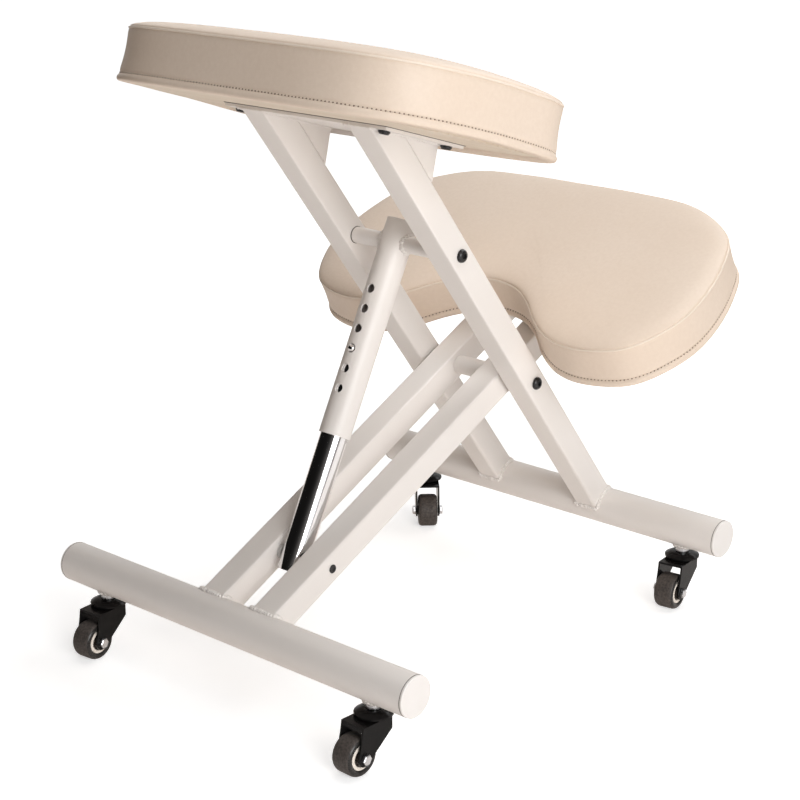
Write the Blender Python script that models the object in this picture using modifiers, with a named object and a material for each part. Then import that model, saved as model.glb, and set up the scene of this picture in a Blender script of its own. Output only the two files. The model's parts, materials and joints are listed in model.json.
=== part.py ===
# Kneeling chair: a scissor frame on four castors, with a sloped seat and a knee pad.
# Units are metres and +Z is up. The knee pad is at the front, towards -Y, the sitter's
# left is +X, and the origin is on the floor under the middle of the chair.
import math

import bmesh
import bpy
from mathutils import Matrix, Vector

# Clearance between pieces that touch, and the play of a bolt in its hole
GAP = 0.0003

# Foot tubes and their end caps
FOOT_DIA = 0.040
FOOT_WALL = 0.002
FOOT_LENGTH = 0.461
CAP_THICKNESS = 0.0025
CAP_PLUG = 0.012

# Square legs: distances along a leg are from the axis of its foot tube
LEG_SIDE = 0.030
LEG_WALL = 0.0018
LEG_CORNER = 0.0035
PIVOT_ON_SEAT_LEG = 0.2205
PIVOT_ON_KNEE_LEG = 0.397
STRUT_ON_SEAT_LEG = 0.419
STRUT_ON_KNEE_LEG = 0.097
SEAT_ON_SEAT_LEG = 0.5877
KNEE_LEG_LENGTH = 0.580
LEG_PLUG = 0.014
LEG_PLUG_LIP = 0.002

# Bolts of the scissor pivot and of the strut's upper end
BOLT_DIA = 0.008
BOLT_HEAD_DIA = 0.0135
BOLT_HEAD = 0.0042
BOLT_SOCKET_DIA = 0.005
BOLT_SOCKET = 0.002
BOLT_IN_SLEEVE = 0.012
PIVOT_SLEEVE_DIA = 0.020
PIVOT_WASHER_DIA = 0.022
PIVOT_WASHER = 0.0036
CROSS_TUBE_DIA = 0.0165

# Telescopic strut
STRUT_DIA = 0.032
STRUT_WALL = 0.0017
STRUT_ROOM = 0.0035
STRUT_TOP = 0.022
STRUT_REACH = 0.200
FIRST_HOLE = 0.052
HOLE_PITCH = 0.0205
HOLE_COUNT = 6
HOLE_IN_USE = 4
HOLE_DIA = 0.0092
CHROME_WALL = 0.0018
CHROME_ABOVE_BUTTON = 0.016
CHROME_BELOW_PIN = 0.016
BUTTON_FROM_PIN = 0.2097
BUTTON_DIA = 0.0076
BUTTON_PROUD = 0.0026
BUTTON_FLANGE_DIA = 0.0105
BUTTON_FLANGE = 0.0016
SPRING_STRIP = 0.0007
SPRING_WIDTH = 0.007
SPRING_LENGTH = 0.034
PIN_DIA = 0.006
PIN_FLOAT_ACROSS = 0.0038
PIN_FLOAT_ALONG = 0.0024
PIN_RIM = 0.0005
PIN_BUSH_DIA = 0.015

# Seat: distances along the seat are from where the seat legs meet the plate
SEAT_TO_LEG_ANGLE = math.radians(35.5)
SEAT_PLATE_THICKNESS = 0.003
SEAT_PLATE_FRONT = 0.087
SEAT_PLATE_REAR = 0.027
SEAT_SCREW_INSET = 0.0125
SEAT_SCREW_TO_LEG = 0.00205
GUSSET_REACH = 0.072
GUSSET_DROP = 0.0807
SEAT_SETBACK = -0.0252
SEAT_SEAM = 0.0511
SEAT_CROWN = 0.0124
SEAT_OUTLINE = (
    (0.0, 0.1600),
    (0.1047, 0.1559),
    (0.1591, 0.1395),
    (0.1926, 0.1040),
    (0.2083, 0.0529),
    (0.2125, -0.0064),
    (0.2093, -0.0565),
    (0.1852, -0.0880),
    (0.1172, -0.1039),
    (0.0, -0.1121),
)

# Knee pad: its middle is measured back from the upper ends of the knee legs
KNEE_PLATE_THICKNESS = 0.005
KNEE_PLATE_LENGTH = 0.105
KNEE_SCREW_INSET = 0.0125
KNEE_SCREW_TO_LEG = 0.00725
KNEE_PAD_FROM_END = 0.0577
KNEE_SEAM = 0.0455
KNEE_CROWN = 0.0105
KNEE_OUTLINE = (
    (0.0, 0.0600),
    (0.032, 0.0655),
    (0.060, 0.0830),
    (0.088, 0.1090),
    (0.122, 0.1285),
    (0.162, 0.1320),
    (0.208, 0.1160),
    (0.237, 0.0690),
    (0.2425, 0.0200),
    (0.232, -0.0350),
    (0.210, -0.0780),
    (0.150, -0.1130),
    (0.076, -0.1210),
    (0.0, -0.1215),
)

# Cushions, both alike in section
SEAT_OUTLINE_STEPS = 3
KNEE_OUTLINE_STEPS = 2
RIM_ROUND = 0.0035
RIM_HEIGHT = 0.0035
STITCH_HEIGHT = 0.0085
STITCH_INSET = 0.0022
SIDE_DRAWN_IN = 0.0045
SEAM_INSET = 0.0025
CROWN_STEPS = (0.975, 0.93, 0.84, 0.66, 0.36)
CROWN_SHARPNESS = 8
BOARD_THICKNESS = 0.012
BOARD_INSET = 0.018

# Screws that hold the cushions to their plates
SCREW_DIA = 0.005
SCREW_HEAD_DIA = 0.0115
SCREW_HEAD = 0.0034
SCREW_IN_BOARD = 0.009

# Castors
CASTOR_SETOUT = 0.1828
CASTOR_HEIGHT = 0.0562
CASTOR_TRAIL = 0.0254
WHEEL_DIA = 0.038
TYRE_WIDTH = 0.022
TYRE_SHOULDER = 0.0045
HUB_DIA = 0.0245
HUB_WIDTH = 0.020
HUB_DISH_DIA = 0.0175
HUB_DISH = 0.0035
AXLE_DIA = 0.006
AXLE_HEAD_DIA = 0.0105
AXLE_HEAD = 0.0036
FORK_ROOM = 0.0012
FORK_PLATE = 0.0018
FORK_TOP = 0.0493
FORK_LEAD = 0.0095
FORK_BACK = 0.027
FORK_LUG_DIA = 0.0155
FORK_FRONT_DROP = 0.012
FORK_REAR_DROP = 0.010
SWIVEL_CAP_DIA = 0.037
SWIVEL_CAP_NECK_DIA = 0.021
SWIVEL_CAP_FOOT_DIA = 0.026
SWIVEL_CAP_EDGE = 0.0018
STEM_DIA = 0.008
STEM_IN_TUBE = 0.008
STEM_NUT_DIA = 0.0145
STEM_NUT = 0.004
STEM_RIVET_DIA = 0.0125
STEM_RIVET = 0.0016
BOSS_DIA = 0.0165
BOSS_HEIGHT = 0.0018
CASTOR_TURNS = {"rear_right": -1.9, "rear_left": 5.7, "front_right": 7.2, "front_left": 44.5}

# Where the scissor pivot stands, so that the origin is under the middle of the chair
PIVOT_Y = -0.09509

# Facets round a turned piece
TUBE_SIDES = 36
WHEEL_SIDES = 20
BOLT_SIDES = 12
HOLE_SIDES = 14

# Edges flatter than this are shaded smooth, and points nearer than this are one point
SMOOTH_ANGLE = math.radians(35.0)
WELD_DISTANCE = 2e-6

# Rotations that lay a piece made along Z on the X axis, and one made in XY in the YZ plane
ALONG_X = (0.0, math.pi / 2, 0.0)
ALONG_MINUS_X = (0.0, -math.pi / 2, 0.0)
ALONG_Y = (-math.pi / 2, 0.0, 0.0)
SIDE_ON = (math.pi / 2, 0.0, math.pi / 2)

# The strut's length sets how far the scissors open, and with that the slope of each leg
strut_length = FIRST_HOLE + (HOLE_IN_USE - 1) * HOLE_PITCH + BUTTON_FROM_PIN
upper_arm = STRUT_ON_SEAT_LEG - PIVOT_ON_SEAT_LEG
lower_arm = PIVOT_ON_KNEE_LEG - STRUT_ON_KNEE_LEG
opening = math.acos((upper_arm**2 + lower_arm**2 - strut_length**2) / (2 * upper_arm * lower_arm))
seat_leg_slope = math.atan2(
    PIVOT_ON_KNEE_LEG * math.sin(opening), PIVOT_ON_SEAT_LEG + PIVOT_ON_KNEE_LEG * math.cos(opening)
)
knee_leg_slope = opening - seat_leg_slope
foot_height = CASTOR_HEIGHT + STEM_NUT + BOSS_HEIGHT + 2 * GAP + FOOT_DIA / 2
pivot_height = foot_height + PIVOT_ON_SEAT_LEG * math.sin(seat_leg_slope)
seat_leg_turn = seat_leg_slope - math.pi / 2
knee_leg_turn = math.pi / 2 - knee_leg_slope
strut_angle_at_top = math.acos(
    (upper_arm**2 + strut_length**2 - lower_arm**2) / (2 * upper_arm * strut_length)
)
seat_turn = math.pi / 2 - SEAT_TO_LEG_ANGLE

# The strut fits between the knee legs, and those between the seat legs with a washer on each side
knee_leg_spacing = STRUT_DIA + 2 * STRUT_ROOM + LEG_SIDE
seat_leg_spacing = knee_leg_spacing + 2 * (LEG_SIDE + PIVOT_WASHER + 2 * GAP)
seat_leg_inside = (seat_leg_spacing - LEG_SIDE) / 2
seat_leg_outside = (seat_leg_spacing + LEG_SIDE) / 2
knee_leg_inside = (knee_leg_spacing - LEG_SIDE) / 2
knee_leg_outside = (knee_leg_spacing + LEG_SIDE) / 2
strut_bore = STRUT_DIA / 2 - STRUT_WALL
chrome_radius = strut_bore - GAP
chrome_bore = chrome_radius - CHROME_WALL

for old in list(bpy.data.objects):
    bpy.data.objects.remove(old, do_unlink=True)

chair = bpy.data.collections.new("kneeling_chair")
cutters = bpy.data.collections.new("cutters")
for collection in (chair, cutters):
    bpy.context.scene.collection.children.link(collection)


def finish(name, colour, roughness, metallic=0.0):
    material = bpy.data.materials.new(name)
    material.use_nodes = True
    shader = material.node_tree.nodes["Principled BSDF"]
    shader.inputs["Base Color"].default_value = (*colour, 1.0)
    shader.inputs["Roughness"].default_value = roughness
    shader.inputs["Metallic"].default_value = metallic
    return material


white_paint = finish("white_powder_coat", (0.82, 0.79, 0.76), 0.42)
white_plastic = finish("white_plastic", (0.80, 0.77, 0.74), 0.5)
cream_vinyl = finish("cream_vinyl", (0.79, 0.68, 0.57), 0.5)
plywood = finish("pale_plywood", (0.74, 0.64, 0.52), 0.7)
chrome = finish("chrome", (0.75, 0.75, 0.76), 0.06, 1.0)
zinc = finish("zinc_plated_steel", (0.62, 0.63, 0.64), 0.3, 1.0)
black_steel = finish("black_steel", (0.02, 0.02, 0.022), 0.3, 0.4)
black_fork = finish("black_enamel", (0.015, 0.015, 0.016), 0.22)
dark_tyre = finish("dark_grey_tyre", (0.05, 0.043, 0.04), 0.6)
cream_hub = finish("cream_hub", (0.82, 0.76, 0.68), 0.4)
nylon = finish("grey_nylon", (0.55, 0.54, 0.52), 0.55)


def empty(name, location, turn=(0.0, 0.0, 0.0), parent=None):
    obj = bpy.data.objects.new(name, None)
    chair.objects.link(obj)
    obj.parent = parent
    obj.location = location
    obj.rotation_euler = turn
    return obj


def piece(name, mesh, material, parent, location=(0.0, 0.0, 0.0), turn=(0.0, 0.0, 0.0)):
    obj = bpy.data.objects.new(name, mesh)
    chair.objects.link(obj)
    obj.parent = parent
    obj.location = location
    obj.rotation_euler = turn
    if material and not mesh.materials:
        mesh.materials.append(material)
    return obj


def cutter(name, mesh, parent, location=(0.0, 0.0, 0.0), turn=(0.0, 0.0, 0.0)):
    obj = piece(name, mesh, None, parent, location, turn)
    chair.objects.unlink(obj)
    cutters.objects.link(obj)
    obj.hide_render = True
    obj.display_type = "WIRE"
    return obj


def cut(obj, other, operation="DIFFERENCE"):
    modifier = obj.modifiers.new(other.name, "BOOLEAN")
    modifier.operation = operation
    modifier.solver = "MANIFOLD"
    modifier.object = other


def mesh_from(bm, name):
    mesh = bpy.data.meshes.new(name)
    bm.to_mesh(mesh)
    bm.free()
    return mesh


def block(name, width, depth, height):
    bm = bmesh.new()
    bmesh.ops.create_cube(bm, size=1.0)
    bmesh.ops.scale(bm, vec=(width, depth, height), verts=bm.verts)
    return mesh_from(bm, name)


def copies(name, mesh, matrices):
    bm = bmesh.new()
    for matrix in matrices:
        start = len(bm.verts)
        bm.from_mesh(mesh)
        bm.verts.ensure_lookup_table()
        bmesh.ops.transform(bm, matrix=matrix, verts=bm.verts[start:])
    return mesh_from(bm, name)


def baked(obj):
    bpy.context.view_layer.update()
    graph = bpy.context.evaluated_depsgraph_get()
    mesh = bpy.data.meshes.new_from_object(obj.evaluated_get(graph))
    mesh.name = obj.name
    bm = bmesh.new()
    bm.from_mesh(mesh)
    bmesh.ops.remove_doubles(bm, verts=bm.verts, dist=WELD_DISTANCE)
    bm.to_mesh(mesh)
    bm.free()
    bpy.data.objects.remove(obj, do_unlink=True)
    mesh.shade_smooth()
    mesh.set_sharp_from_angle(angle=SMOOTH_ANGLE)
    return mesh


# A profile of (radius, height) points that runs down its outer side, turned round Z
def turned(name, profile, sides, ring=False):
    half_facet = math.pi / sides
    points = [(r * math.cos(half_facet), r * math.sin(half_facet), z) for r, z in profile]
    edges = [(i, i + 1) for i in range(len(points) - 1)]
    if ring:
        edges.append((len(points) - 1, 0))
    mesh = bpy.data.meshes.new(name)
    mesh.from_pydata(points, edges, [])
    obj = piece(name, mesh, None, None)
    screw = obj.modifiers.new("turn", "SCREW")
    screw.steps = sides
    screw.render_steps = sides
    screw.use_merge_vertices = True
    screw.merge_threshold = 1e-5
    return baked(obj)


def tube(name, outer, inner, low, high, sides):
    return turned(name, [(outer, high), (outer, low), (inner, low), (inner, high)], sides, ring=True)


def drum(name, radius, length, sides=HOLE_SIDES):
    half = length / 2
    return turned(name, [(0.0, half), (radius, half), (radius, -half), (0.0, -half)], sides)


# A flat outline with any holes in it, given as loops of points and made thick about Z = 0
def sheet(name, loops, thickness):
    curve = bpy.data.curves.new(name, "CURVE")
    curve.dimensions = "2D"
    curve.fill_mode = "BOTH"
    curve.extrude = thickness / 2
    for loop in loops:
        spline = curve.splines.new("POLY")
        spline.points.add(len(loop) - 1)
        for point, (x, y) in zip(spline.points, loop):
            point.co = (x, y, 0.0, 1.0)
        spline.use_cyclic_u = True
    obj = bpy.data.objects.new(name, curve)
    chair.objects.link(obj)
    mesh = baked(obj)
    bpy.data.curves.remove(curve)
    bm = bmesh.new()
    bm.from_mesh(mesh)
    bmesh.ops.recalc_face_normals(bm, faces=bm.faces)
    bm.to_mesh(mesh)
    bm.free()
    mesh.materials.clear()
    return mesh


def arc(x, y, radius, first, last, steps):
    angles = [math.radians(first + (last - first) * i / steps) for i in range(steps + 1)]
    return [(x + radius * math.cos(a), y + radius * math.sin(a)) for a in angles]


def circle(x, y, radius, sides=HOLE_SIDES):
    return arc(x, y, radius, 0.0, 360.0 * (sides - 1) / sides, sides - 1)


def rounded_rectangle(left, right, front, rear, radius, steps=2):
    corners = (
        (right - radius, rear - radius, 0.0),
        (left + radius, rear - radius, 90.0),
        (left + radius, front + radius, 180.0),
        (right - radius, front + radius, 270.0),
    )
    return [p for x, y, first in corners for p in arc(x, y, radius, first, first + 90.0, steps)]


# A smooth closed outline through half an outline's points and their mirror images
def smooth_outline(half, steps):
    mirrored = [(-x, y) for x, y in reversed(half[1:-1])]
    points = [Vector(p) for p in list(half) + mirrored]
    count = len(points)
    outline = []
    for i in range(count):
        before, here, after, beyond = (points[(i + k) % count] for k in (-1, 0, 1, 2))
        for step in range(steps):
            t = step / steps
            outline.append(
                here
                + (after - before) * (t / 2)
                + (2 * before - 5 * here + 4 * after - beyond) * (t * t / 2)
                + (3 * here - before - 3 * after + beyond) * (t**3 / 2)
            )
    return outline[::-1]


# The outline moved outwards by a distance, or inwards by a negative one
def offset(outline, distance):
    moved = []
    for i, point in enumerate(outline):
        along = (outline[(i + 1) % len(outline)] - outline[i - 1]).normalized()
        moved.append(point + Vector((along.y, -along.x)) * distance)
    return moved


# A closed skin over a stack of like rings, with its first and last ring closed to a point
def loft(name, rings):
    bm = bmesh.new()
    loops = [[bm.verts.new((p.x, p.y, z)) for p in ring] for ring, z in rings]
    count = len(loops[0])
    for lower, upper in zip(loops, loops[1:]):
        for i in range(count):
            bm.faces.new((lower[i - 1], lower[i], upper[i], upper[i - 1]))
    for loop, top in ((loops[0], rings[0][1]), (loops[-1], rings[-1][1])):
        centre = bm.verts.new((0.0, 0.0, top))
        for i in range(count):
            bm.faces.new((loop[i - 1], loop[i], centre))
    bmesh.ops.recalc_face_normals(bm, faces=bm.faces)
    mesh = mesh_from(bm, name)
    mesh.shade_smooth()
    mesh.set_sharp_from_angle(angle=SMOOTH_ANGLE)
    return mesh


# A boxed cushion with a pocket for its board: rim, stitch line, drawn-in side, seam and crown
def cushion(name, outline, seam, crown):
    pocket = offset(outline, GAP - BOARD_INSET)
    sewn = offset(outline, -SEAM_INSET)
    rings = [
        (pocket, BOARD_THICKNESS + GAP),
        (pocket, 0.0),
        (offset(outline, -RIM_ROUND), 0.0),
        (outline, RIM_HEIGHT),
        (offset(outline, -STITCH_INSET), STITCH_HEIGHT),
        (offset(outline, -SIDE_DRAWN_IN), (STITCH_HEIGHT + seam) / 2),
        (sewn, seam),
    ]
    for share in CROWN_STEPS:
        rise = crown * math.sqrt(1 - share**CROWN_SHARPNESS)
        rings.append(([p * share for p in sewn], seam + rise))
    return loft(name, rings)


def board(name, outline, holes):
    loops = [offset(outline, -BOARD_INSET)]
    loops += [circle(x, y, SCREW_DIA / 2 + GAP) for x, y in holes]
    return sheet(name, loops, BOARD_THICKNESS)


# A square tube along Z from low to high
def leg_tube(name, low, high):
    half = LEG_SIDE / 2
    inner = half - LEG_WALL
    loops = [
        rounded_rectangle(-half, half, -half, half, LEG_CORNER),
        rounded_rectangle(-inner, inner, -inner, inner, LEG_CORNER - LEG_WALL),
    ]
    mesh = sheet(name, loops, high - low)
    mesh.transform(Matrix.Translation((0.0, 0.0, (high + low) / 2)))
    return mesh


# A round-headed bolt along Z, its head's seat at Z = 0 and its shank below
def bolt(name, shank, length):
    head = BOLT_HEAD_DIA / 2
    profile = [
        (0.0, BOLT_HEAD - BOLT_SOCKET),
        (BOLT_SOCKET_DIA / 2, BOLT_HEAD - BOLT_SOCKET),
        (BOLT_SOCKET_DIA / 2, BOLT_HEAD),
        (head * 0.62, BOLT_HEAD * 0.92),
        (head * 0.9, BOLT_HEAD * 0.55),
        (head, BOLT_HEAD * 0.15),
        (head, 0.0),
        (shank, 0.0),
        (shank, -length),
        (0.0, -length),
    ]
    return turned(name, profile, BOLT_SIDES)


# A screw up through a plate whose lower face is at Z = 0, into the board above it
def screw_up(name, plate):
    head = SCREW_HEAD_DIA / 2
    shank = SCREW_DIA / 2
    profile = [
        (0.0, plate + GAP + SCREW_IN_BOARD),
        (shank, plate + GAP + SCREW_IN_BOARD),
        (shank, -GAP),
        (head, -GAP),
        (head, -GAP - SCREW_HEAD * 0.35),
        (head * 0.75, -GAP - SCREW_HEAD),
        (0.0, -GAP - SCREW_HEAD),
    ]
    return turned(name, profile, BOLT_SIDES)


def corner_places(left, right, front, rear, inset):
    return {
        "front_left": (right - inset, front + inset),
        "front_right": (left + inset, front + inset),
        "rear_left": (right - inset, rear - inset),
        "rear_right": (left + inset, rear - inset),
    }


# Joint frames: both leg frames stand on the scissor pivot with Z up along their legs
knee_frame = empty("knee_frame", (0.0, PIVOT_Y, pivot_height), (knee_leg_turn, 0.0, 0.0))
seat_frame = empty("seat_frame", (0.0, PIVOT_Y, pivot_height), (seat_leg_turn, 0.0, 0.0))
strut = empty("strut", (0.0, 0.0, upper_arm), (strut_angle_at_top, 0.0, 0.0), seat_frame)
rear_foot = empty("rear_foot", (0.0, 0.0, -PIVOT_ON_KNEE_LEG), (-knee_leg_turn, 0.0, 0.0), knee_frame)
front_foot = empty("front_foot", (0.0, 0.0, -PIVOT_ON_SEAT_LEG), (-seat_leg_turn, 0.0, 0.0), seat_frame)
seat_on_leg = SEAT_ON_SEAT_LEG - PIVOT_ON_SEAT_LEG
seat_mount = empty("seat_mount", (0.0, 0.0, seat_on_leg), (seat_turn, 0.0, 0.0), seat_frame)
knee_rest = LEG_SIDE / 2 + GAP
knee_mount = empty(
    "knee_mount",
    (0.0, knee_rest, KNEE_LEG_LENGTH - KNEE_PAD_FROM_END - PIVOT_ON_KNEE_LEG),
    (-math.pi / 2, 0.0, 0.0),
    knee_frame,
)

# Shared cutters for bolt holes and for the legs' coped feet
bolt_hole = drum("bolt_hole", BOLT_DIA / 2 + GAP, 3 * seat_leg_spacing)
pivot_cut = cutter("pivot_hole_cut", bolt_hole, seat_frame, turn=ALONG_X)
strut_bolt_cut = cutter("strut_bolt_hole_cut", bolt_hole, strut, turn=ALONG_X)
foot_cut_mesh = drum("foot_cut", FOOT_DIA / 2 + GAP, FOOT_LENGTH, TUBE_SIDES)
foot_cuts = {
    "rear": cutter("rear_foot_cut", foot_cut_mesh, rear_foot, turn=ALONG_X),
    "front": cutter("front_foot_cut", foot_cut_mesh, front_foot, turn=ALONG_X),
}

# Foot tubes with the welded bosses that take the castors' stems, and their end caps
foot_radius = FOOT_DIA / 2
nut_low = CASTOR_HEIGHT + GAP
nut_high = nut_low + STEM_NUT
boss_low = nut_high + GAP
foot_bore = foot_radius - FOOT_WALL
stem_top = foot_height - foot_bore + STEM_IN_TUBE
boss_end = foot_height - boss_low
boss_root = (math.sqrt(foot_radius**2 - (BOSS_DIA / 2) ** 2) + foot_bore) / 2
boss_mesh = drum("castor_boss", BOSS_DIA / 2, boss_end - boss_root)
foot_end = FOOT_LENGTH / 2
foot_mesh = tube("foot_tube", foot_radius, foot_bore, -foot_end, foot_end, TUBE_SIDES)
stem_hole = drum("stem_hole", STEM_DIA / 2 + GAP, foot_height)
plug_radius = foot_bore - GAP
cap_mesh = turned(
    "foot_cap",
    [
        (0.0, GAP + CAP_THICKNESS),
        (foot_radius - CAP_THICKNESS / 4, GAP + CAP_THICKNESS),
        (foot_radius, GAP + CAP_THICKNESS * 0.75),
        (foot_radius, GAP),
        (plug_radius, GAP),
        (plug_radius, -CAP_PLUG),
        (0.0, -CAP_PLUG),
    ],
    TUBE_SIDES,
)
feet = {"rear": rear_foot, "front": front_foot}
for end, foot in feet.items():
    foot_tube = piece(f"{end}_foot_tube", foot_mesh, white_paint, foot, turn=ALONG_X)
    for side, x in (("left", CASTOR_SETOUT), ("right", -CASTOR_SETOUT)):
        boss = cutter(f"{end}_boss_{side}", boss_mesh, foot, (x, 0.0, -(boss_end + boss_root) / 2))
        cut(foot_tube, boss, "UNION")
        cut(foot_tube, cutter(f"{end}_stem_hole_{side}", stem_hole, foot, (x, 0.0, -foot_height / 2)))
    piece(f"{end}_cap_left", cap_mesh, white_plastic, foot, (foot_end, 0.0, 0.0), ALONG_X)
    piece(f"{end}_cap_right", cap_mesh, white_plastic, foot, (-foot_end, 0.0, 0.0), ALONG_MINUS_X)

# Seat legs, coped on the front foot tube and cut off along the seat plate
top_cut_side = 4 * LEG_SIDE / math.sin(SEAT_TO_LEG_ANGLE)
seat_top_cut = cutter(
    "seat_leg_top_cut",
    block("seat_leg_top_cut", 2 * seat_leg_spacing, top_cut_side, top_cut_side),
    seat_mount,
    (0.0, 0.0, top_cut_side / 2 - GAP),
)
seat_leg_top = seat_on_leg + LEG_SIDE / math.tan(SEAT_TO_LEG_ANGLE)
seat_leg_mesh = leg_tube("seat_leg", -PIVOT_ON_SEAT_LEG, seat_leg_top)
knee_leg_mesh = leg_tube("knee_leg", -PIVOT_ON_KNEE_LEG, KNEE_LEG_LENGTH - PIVOT_ON_KNEE_LEG)
pin_at = STRUT_ON_KNEE_LEG - PIVOT_ON_KNEE_LEG
pin_cut = cutter(
    "strut_pin_hole_cut",
    drum("strut_pin_hole", PIN_DIA / 2 + GAP, 3 * knee_leg_spacing),
    knee_frame,
    (0.0, 0.0, pin_at),
    ALONG_X,
)

# A gusset is welded into the corner in front of each seat leg, under the plate
gusset_front = (LEG_WALL - LEG_SIDE) / 2
gusset_corner = gusset_front / math.cos(seat_turn)
gusset_loop = [
    (gusset_front, seat_on_leg - GUSSET_DROP),
    (gusset_front, seat_on_leg + gusset_corner * math.sin(seat_turn)),
    (-GUSSET_REACH * math.cos(seat_turn), seat_on_leg - GUSSET_REACH * math.sin(seat_turn)),
]
gusset_mesh = sheet("seat_gusset", [gusset_loop], LEG_SIDE)
for side, sign in (("left", 1), ("right", -1)):
    seat_x = sign * seat_leg_spacing / 2
    leg = piece(f"seat_leg_{side}", seat_leg_mesh, white_paint, seat_frame, (seat_x, 0.0, 0.0))
    gusset = cutter(f"seat_gusset_{side}", gusset_mesh, seat_frame, (seat_x, 0.0, 0.0), SIDE_ON)
    cut(leg, gusset, "UNION")
    for other in (foot_cuts["front"], seat_top_cut, pivot_cut, strut_bolt_cut):
        cut(leg, other)
    knee_x = sign * knee_leg_spacing / 2
    leg = piece(f"knee_leg_{side}", knee_leg_mesh, white_paint, knee_frame, (knee_x, 0.0, 0.0))
    for other in (foot_cuts["rear"], pivot_cut, pin_cut):
        cut(leg, other)

# Plugs in the open upper ends of the knee legs
plug_half = LEG_SIDE / 2 - LEG_WALL - GAP
lip_half = LEG_SIDE / 2
plug_stem = sheet(
    "leg_plug",
    [rounded_rectangle(-plug_half, plug_half, -plug_half, plug_half, LEG_CORNER - LEG_WALL)],
    LEG_PLUG + GAP + LEG_PLUG_LIP / 2,
)
plug_lip = sheet(
    "leg_plug_lip",
    [rounded_rectangle(-lip_half, lip_half, -lip_half, lip_half, LEG_CORNER)],
    LEG_PLUG_LIP,
)
plug_stem.transform(Matrix.Translation((0.0, 0.0, (GAP + LEG_PLUG_LIP / 2 - LEG_PLUG) / 2)))
plug_lip.transform(Matrix.Translation((0.0, 0.0, GAP + LEG_PLUG_LIP / 2)))
plug = piece("leg_plug", plug_lip, None, None)
stem_tool = cutter("leg_plug_stem", plug_stem, None)
cut(plug, stem_tool, "UNION")
plug_mesh = baked(plug)
bpy.data.objects.remove(stem_tool, do_unlink=True)
leg_end = KNEE_LEG_LENGTH - PIVOT_ON_KNEE_LEG
for side, sign in (("left", 1), ("right", -1)):
    plug_at = (sign * knee_leg_spacing / 2, 0.0, leg_end)
    piece(f"knee_leg_plug_{side}", plug_mesh, nylon, knee_frame, plug_at)

# Scissor pivot: a sleeve between the knee legs, washers outside them and a bolt from each side
bolt_bore = BOLT_DIA / 2 + GAP
sleeve_end = knee_leg_inside - GAP
piece(
    "pivot_sleeve",
    tube("pivot_sleeve", PIVOT_SLEEVE_DIA / 2, bolt_bore, -sleeve_end, sleeve_end, HOLE_SIDES),
    white_paint,
    knee_frame,
    turn=ALONG_X,
)
washer = tube(
    "pivot_washer",
    PIVOT_WASHER_DIA / 2,
    bolt_bore,
    knee_leg_outside + GAP,
    seat_leg_inside - GAP,
    HOLE_SIDES,
)
pivot_bolt = bolt("pivot_bolt", BOLT_DIA / 2, seat_leg_outside - knee_leg_inside + BOLT_IN_SLEEVE)
top_bolt = bolt("strut_top_bolt", BOLT_DIA / 2, LEG_SIDE + BOLT_IN_SLEEVE)
for side, sign, turn in (("left", 1, ALONG_X), ("right", -1, ALONG_MINUS_X)):
    piece(f"pivot_washer_{side}", washer, nylon, seat_frame, turn=turn)
    seat_face = sign * (seat_leg_outside + GAP)
    piece(f"pivot_bolt_{side}", pivot_bolt, black_steel, seat_frame, (seat_face, 0.0, 0.0), turn)
    piece(f"strut_top_bolt_{side}", top_bolt, black_steel, seat_frame, (seat_face, 0.0, upper_arm), turn)

# Outer strut tube with its row of holes, and the cross tube welded through it that it hangs on
cross_end = seat_leg_inside - GAP
cross_mesh = drum("cross_tube", CROSS_TUBE_DIA / 2, 2 * cross_end)
cross_tube = cutter("strut_cross_tube", cross_mesh, strut, turn=ALONG_X)
hole_drill = drum("strut_hole", HOLE_DIA / 2, STRUT_DIA / 2)
hole_places = [
    Matrix.Translation((0.0, STRUT_DIA / 2, -FIRST_HOLE - i * HOLE_PITCH))
    @ Matrix.Rotation(math.pi / 2, 4, "X")
    for i in range(HOLE_COUNT)
]
holes_cut = cutter("strut_holes_cut", copies("strut_holes", hole_drill, hole_places), strut)
outer_mesh = tube("strut_outer_tube", STRUT_DIA / 2, strut_bore, -STRUT_REACH, STRUT_TOP, TUBE_SIDES)
outer_tube = piece("strut_outer_tube", outer_mesh, white_paint, strut)
cut(outer_tube, cross_tube, "UNION")
for other in (strut_bolt_cut, holes_cut):
    cut(outer_tube, other)

# Chrome inner tube: a hole for the snap button, and at its foot a wide hole for the pin,
# which leaves room for the pin to move as the strut is set to another hole
button_at = -FIRST_HOLE - (HOLE_IN_USE - 1) * HOLE_PITCH
inner_mesh = tube(
    "strut_inner_tube",
    chrome_radius,
    chrome_bore,
    -strut_length - CHROME_BELOW_PIN,
    button_at + CHROME_ABOVE_BUTTON,
    TUBE_SIDES,
)
inner_tube = piece("strut_inner_tube", inner_mesh, chrome, strut)
button_hole = drum("button_hole", BUTTON_DIA / 2 + GAP, STRUT_DIA / 2)
button_cut = cutter("button_hole_cut", button_hole, strut, (0.0, STRUT_DIA / 2, button_at), ALONG_Y)
pin_float = math.hypot(PIN_FLOAT_ACROSS, PIN_FLOAT_ALONG)
float_cut = cutter(
    "pin_float_cut",
    drum("pin_float", (PIN_DIA + pin_float) / 2 + PIN_RIM, 2 * STRUT_DIA),
    strut,
    (0.0, PIN_FLOAT_ACROSS / 2, PIN_FLOAT_ALONG / 2 - strut_length),
    ALONG_X,
)
for other in (button_cut, float_cut):
    cut(inner_tube, other)

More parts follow.
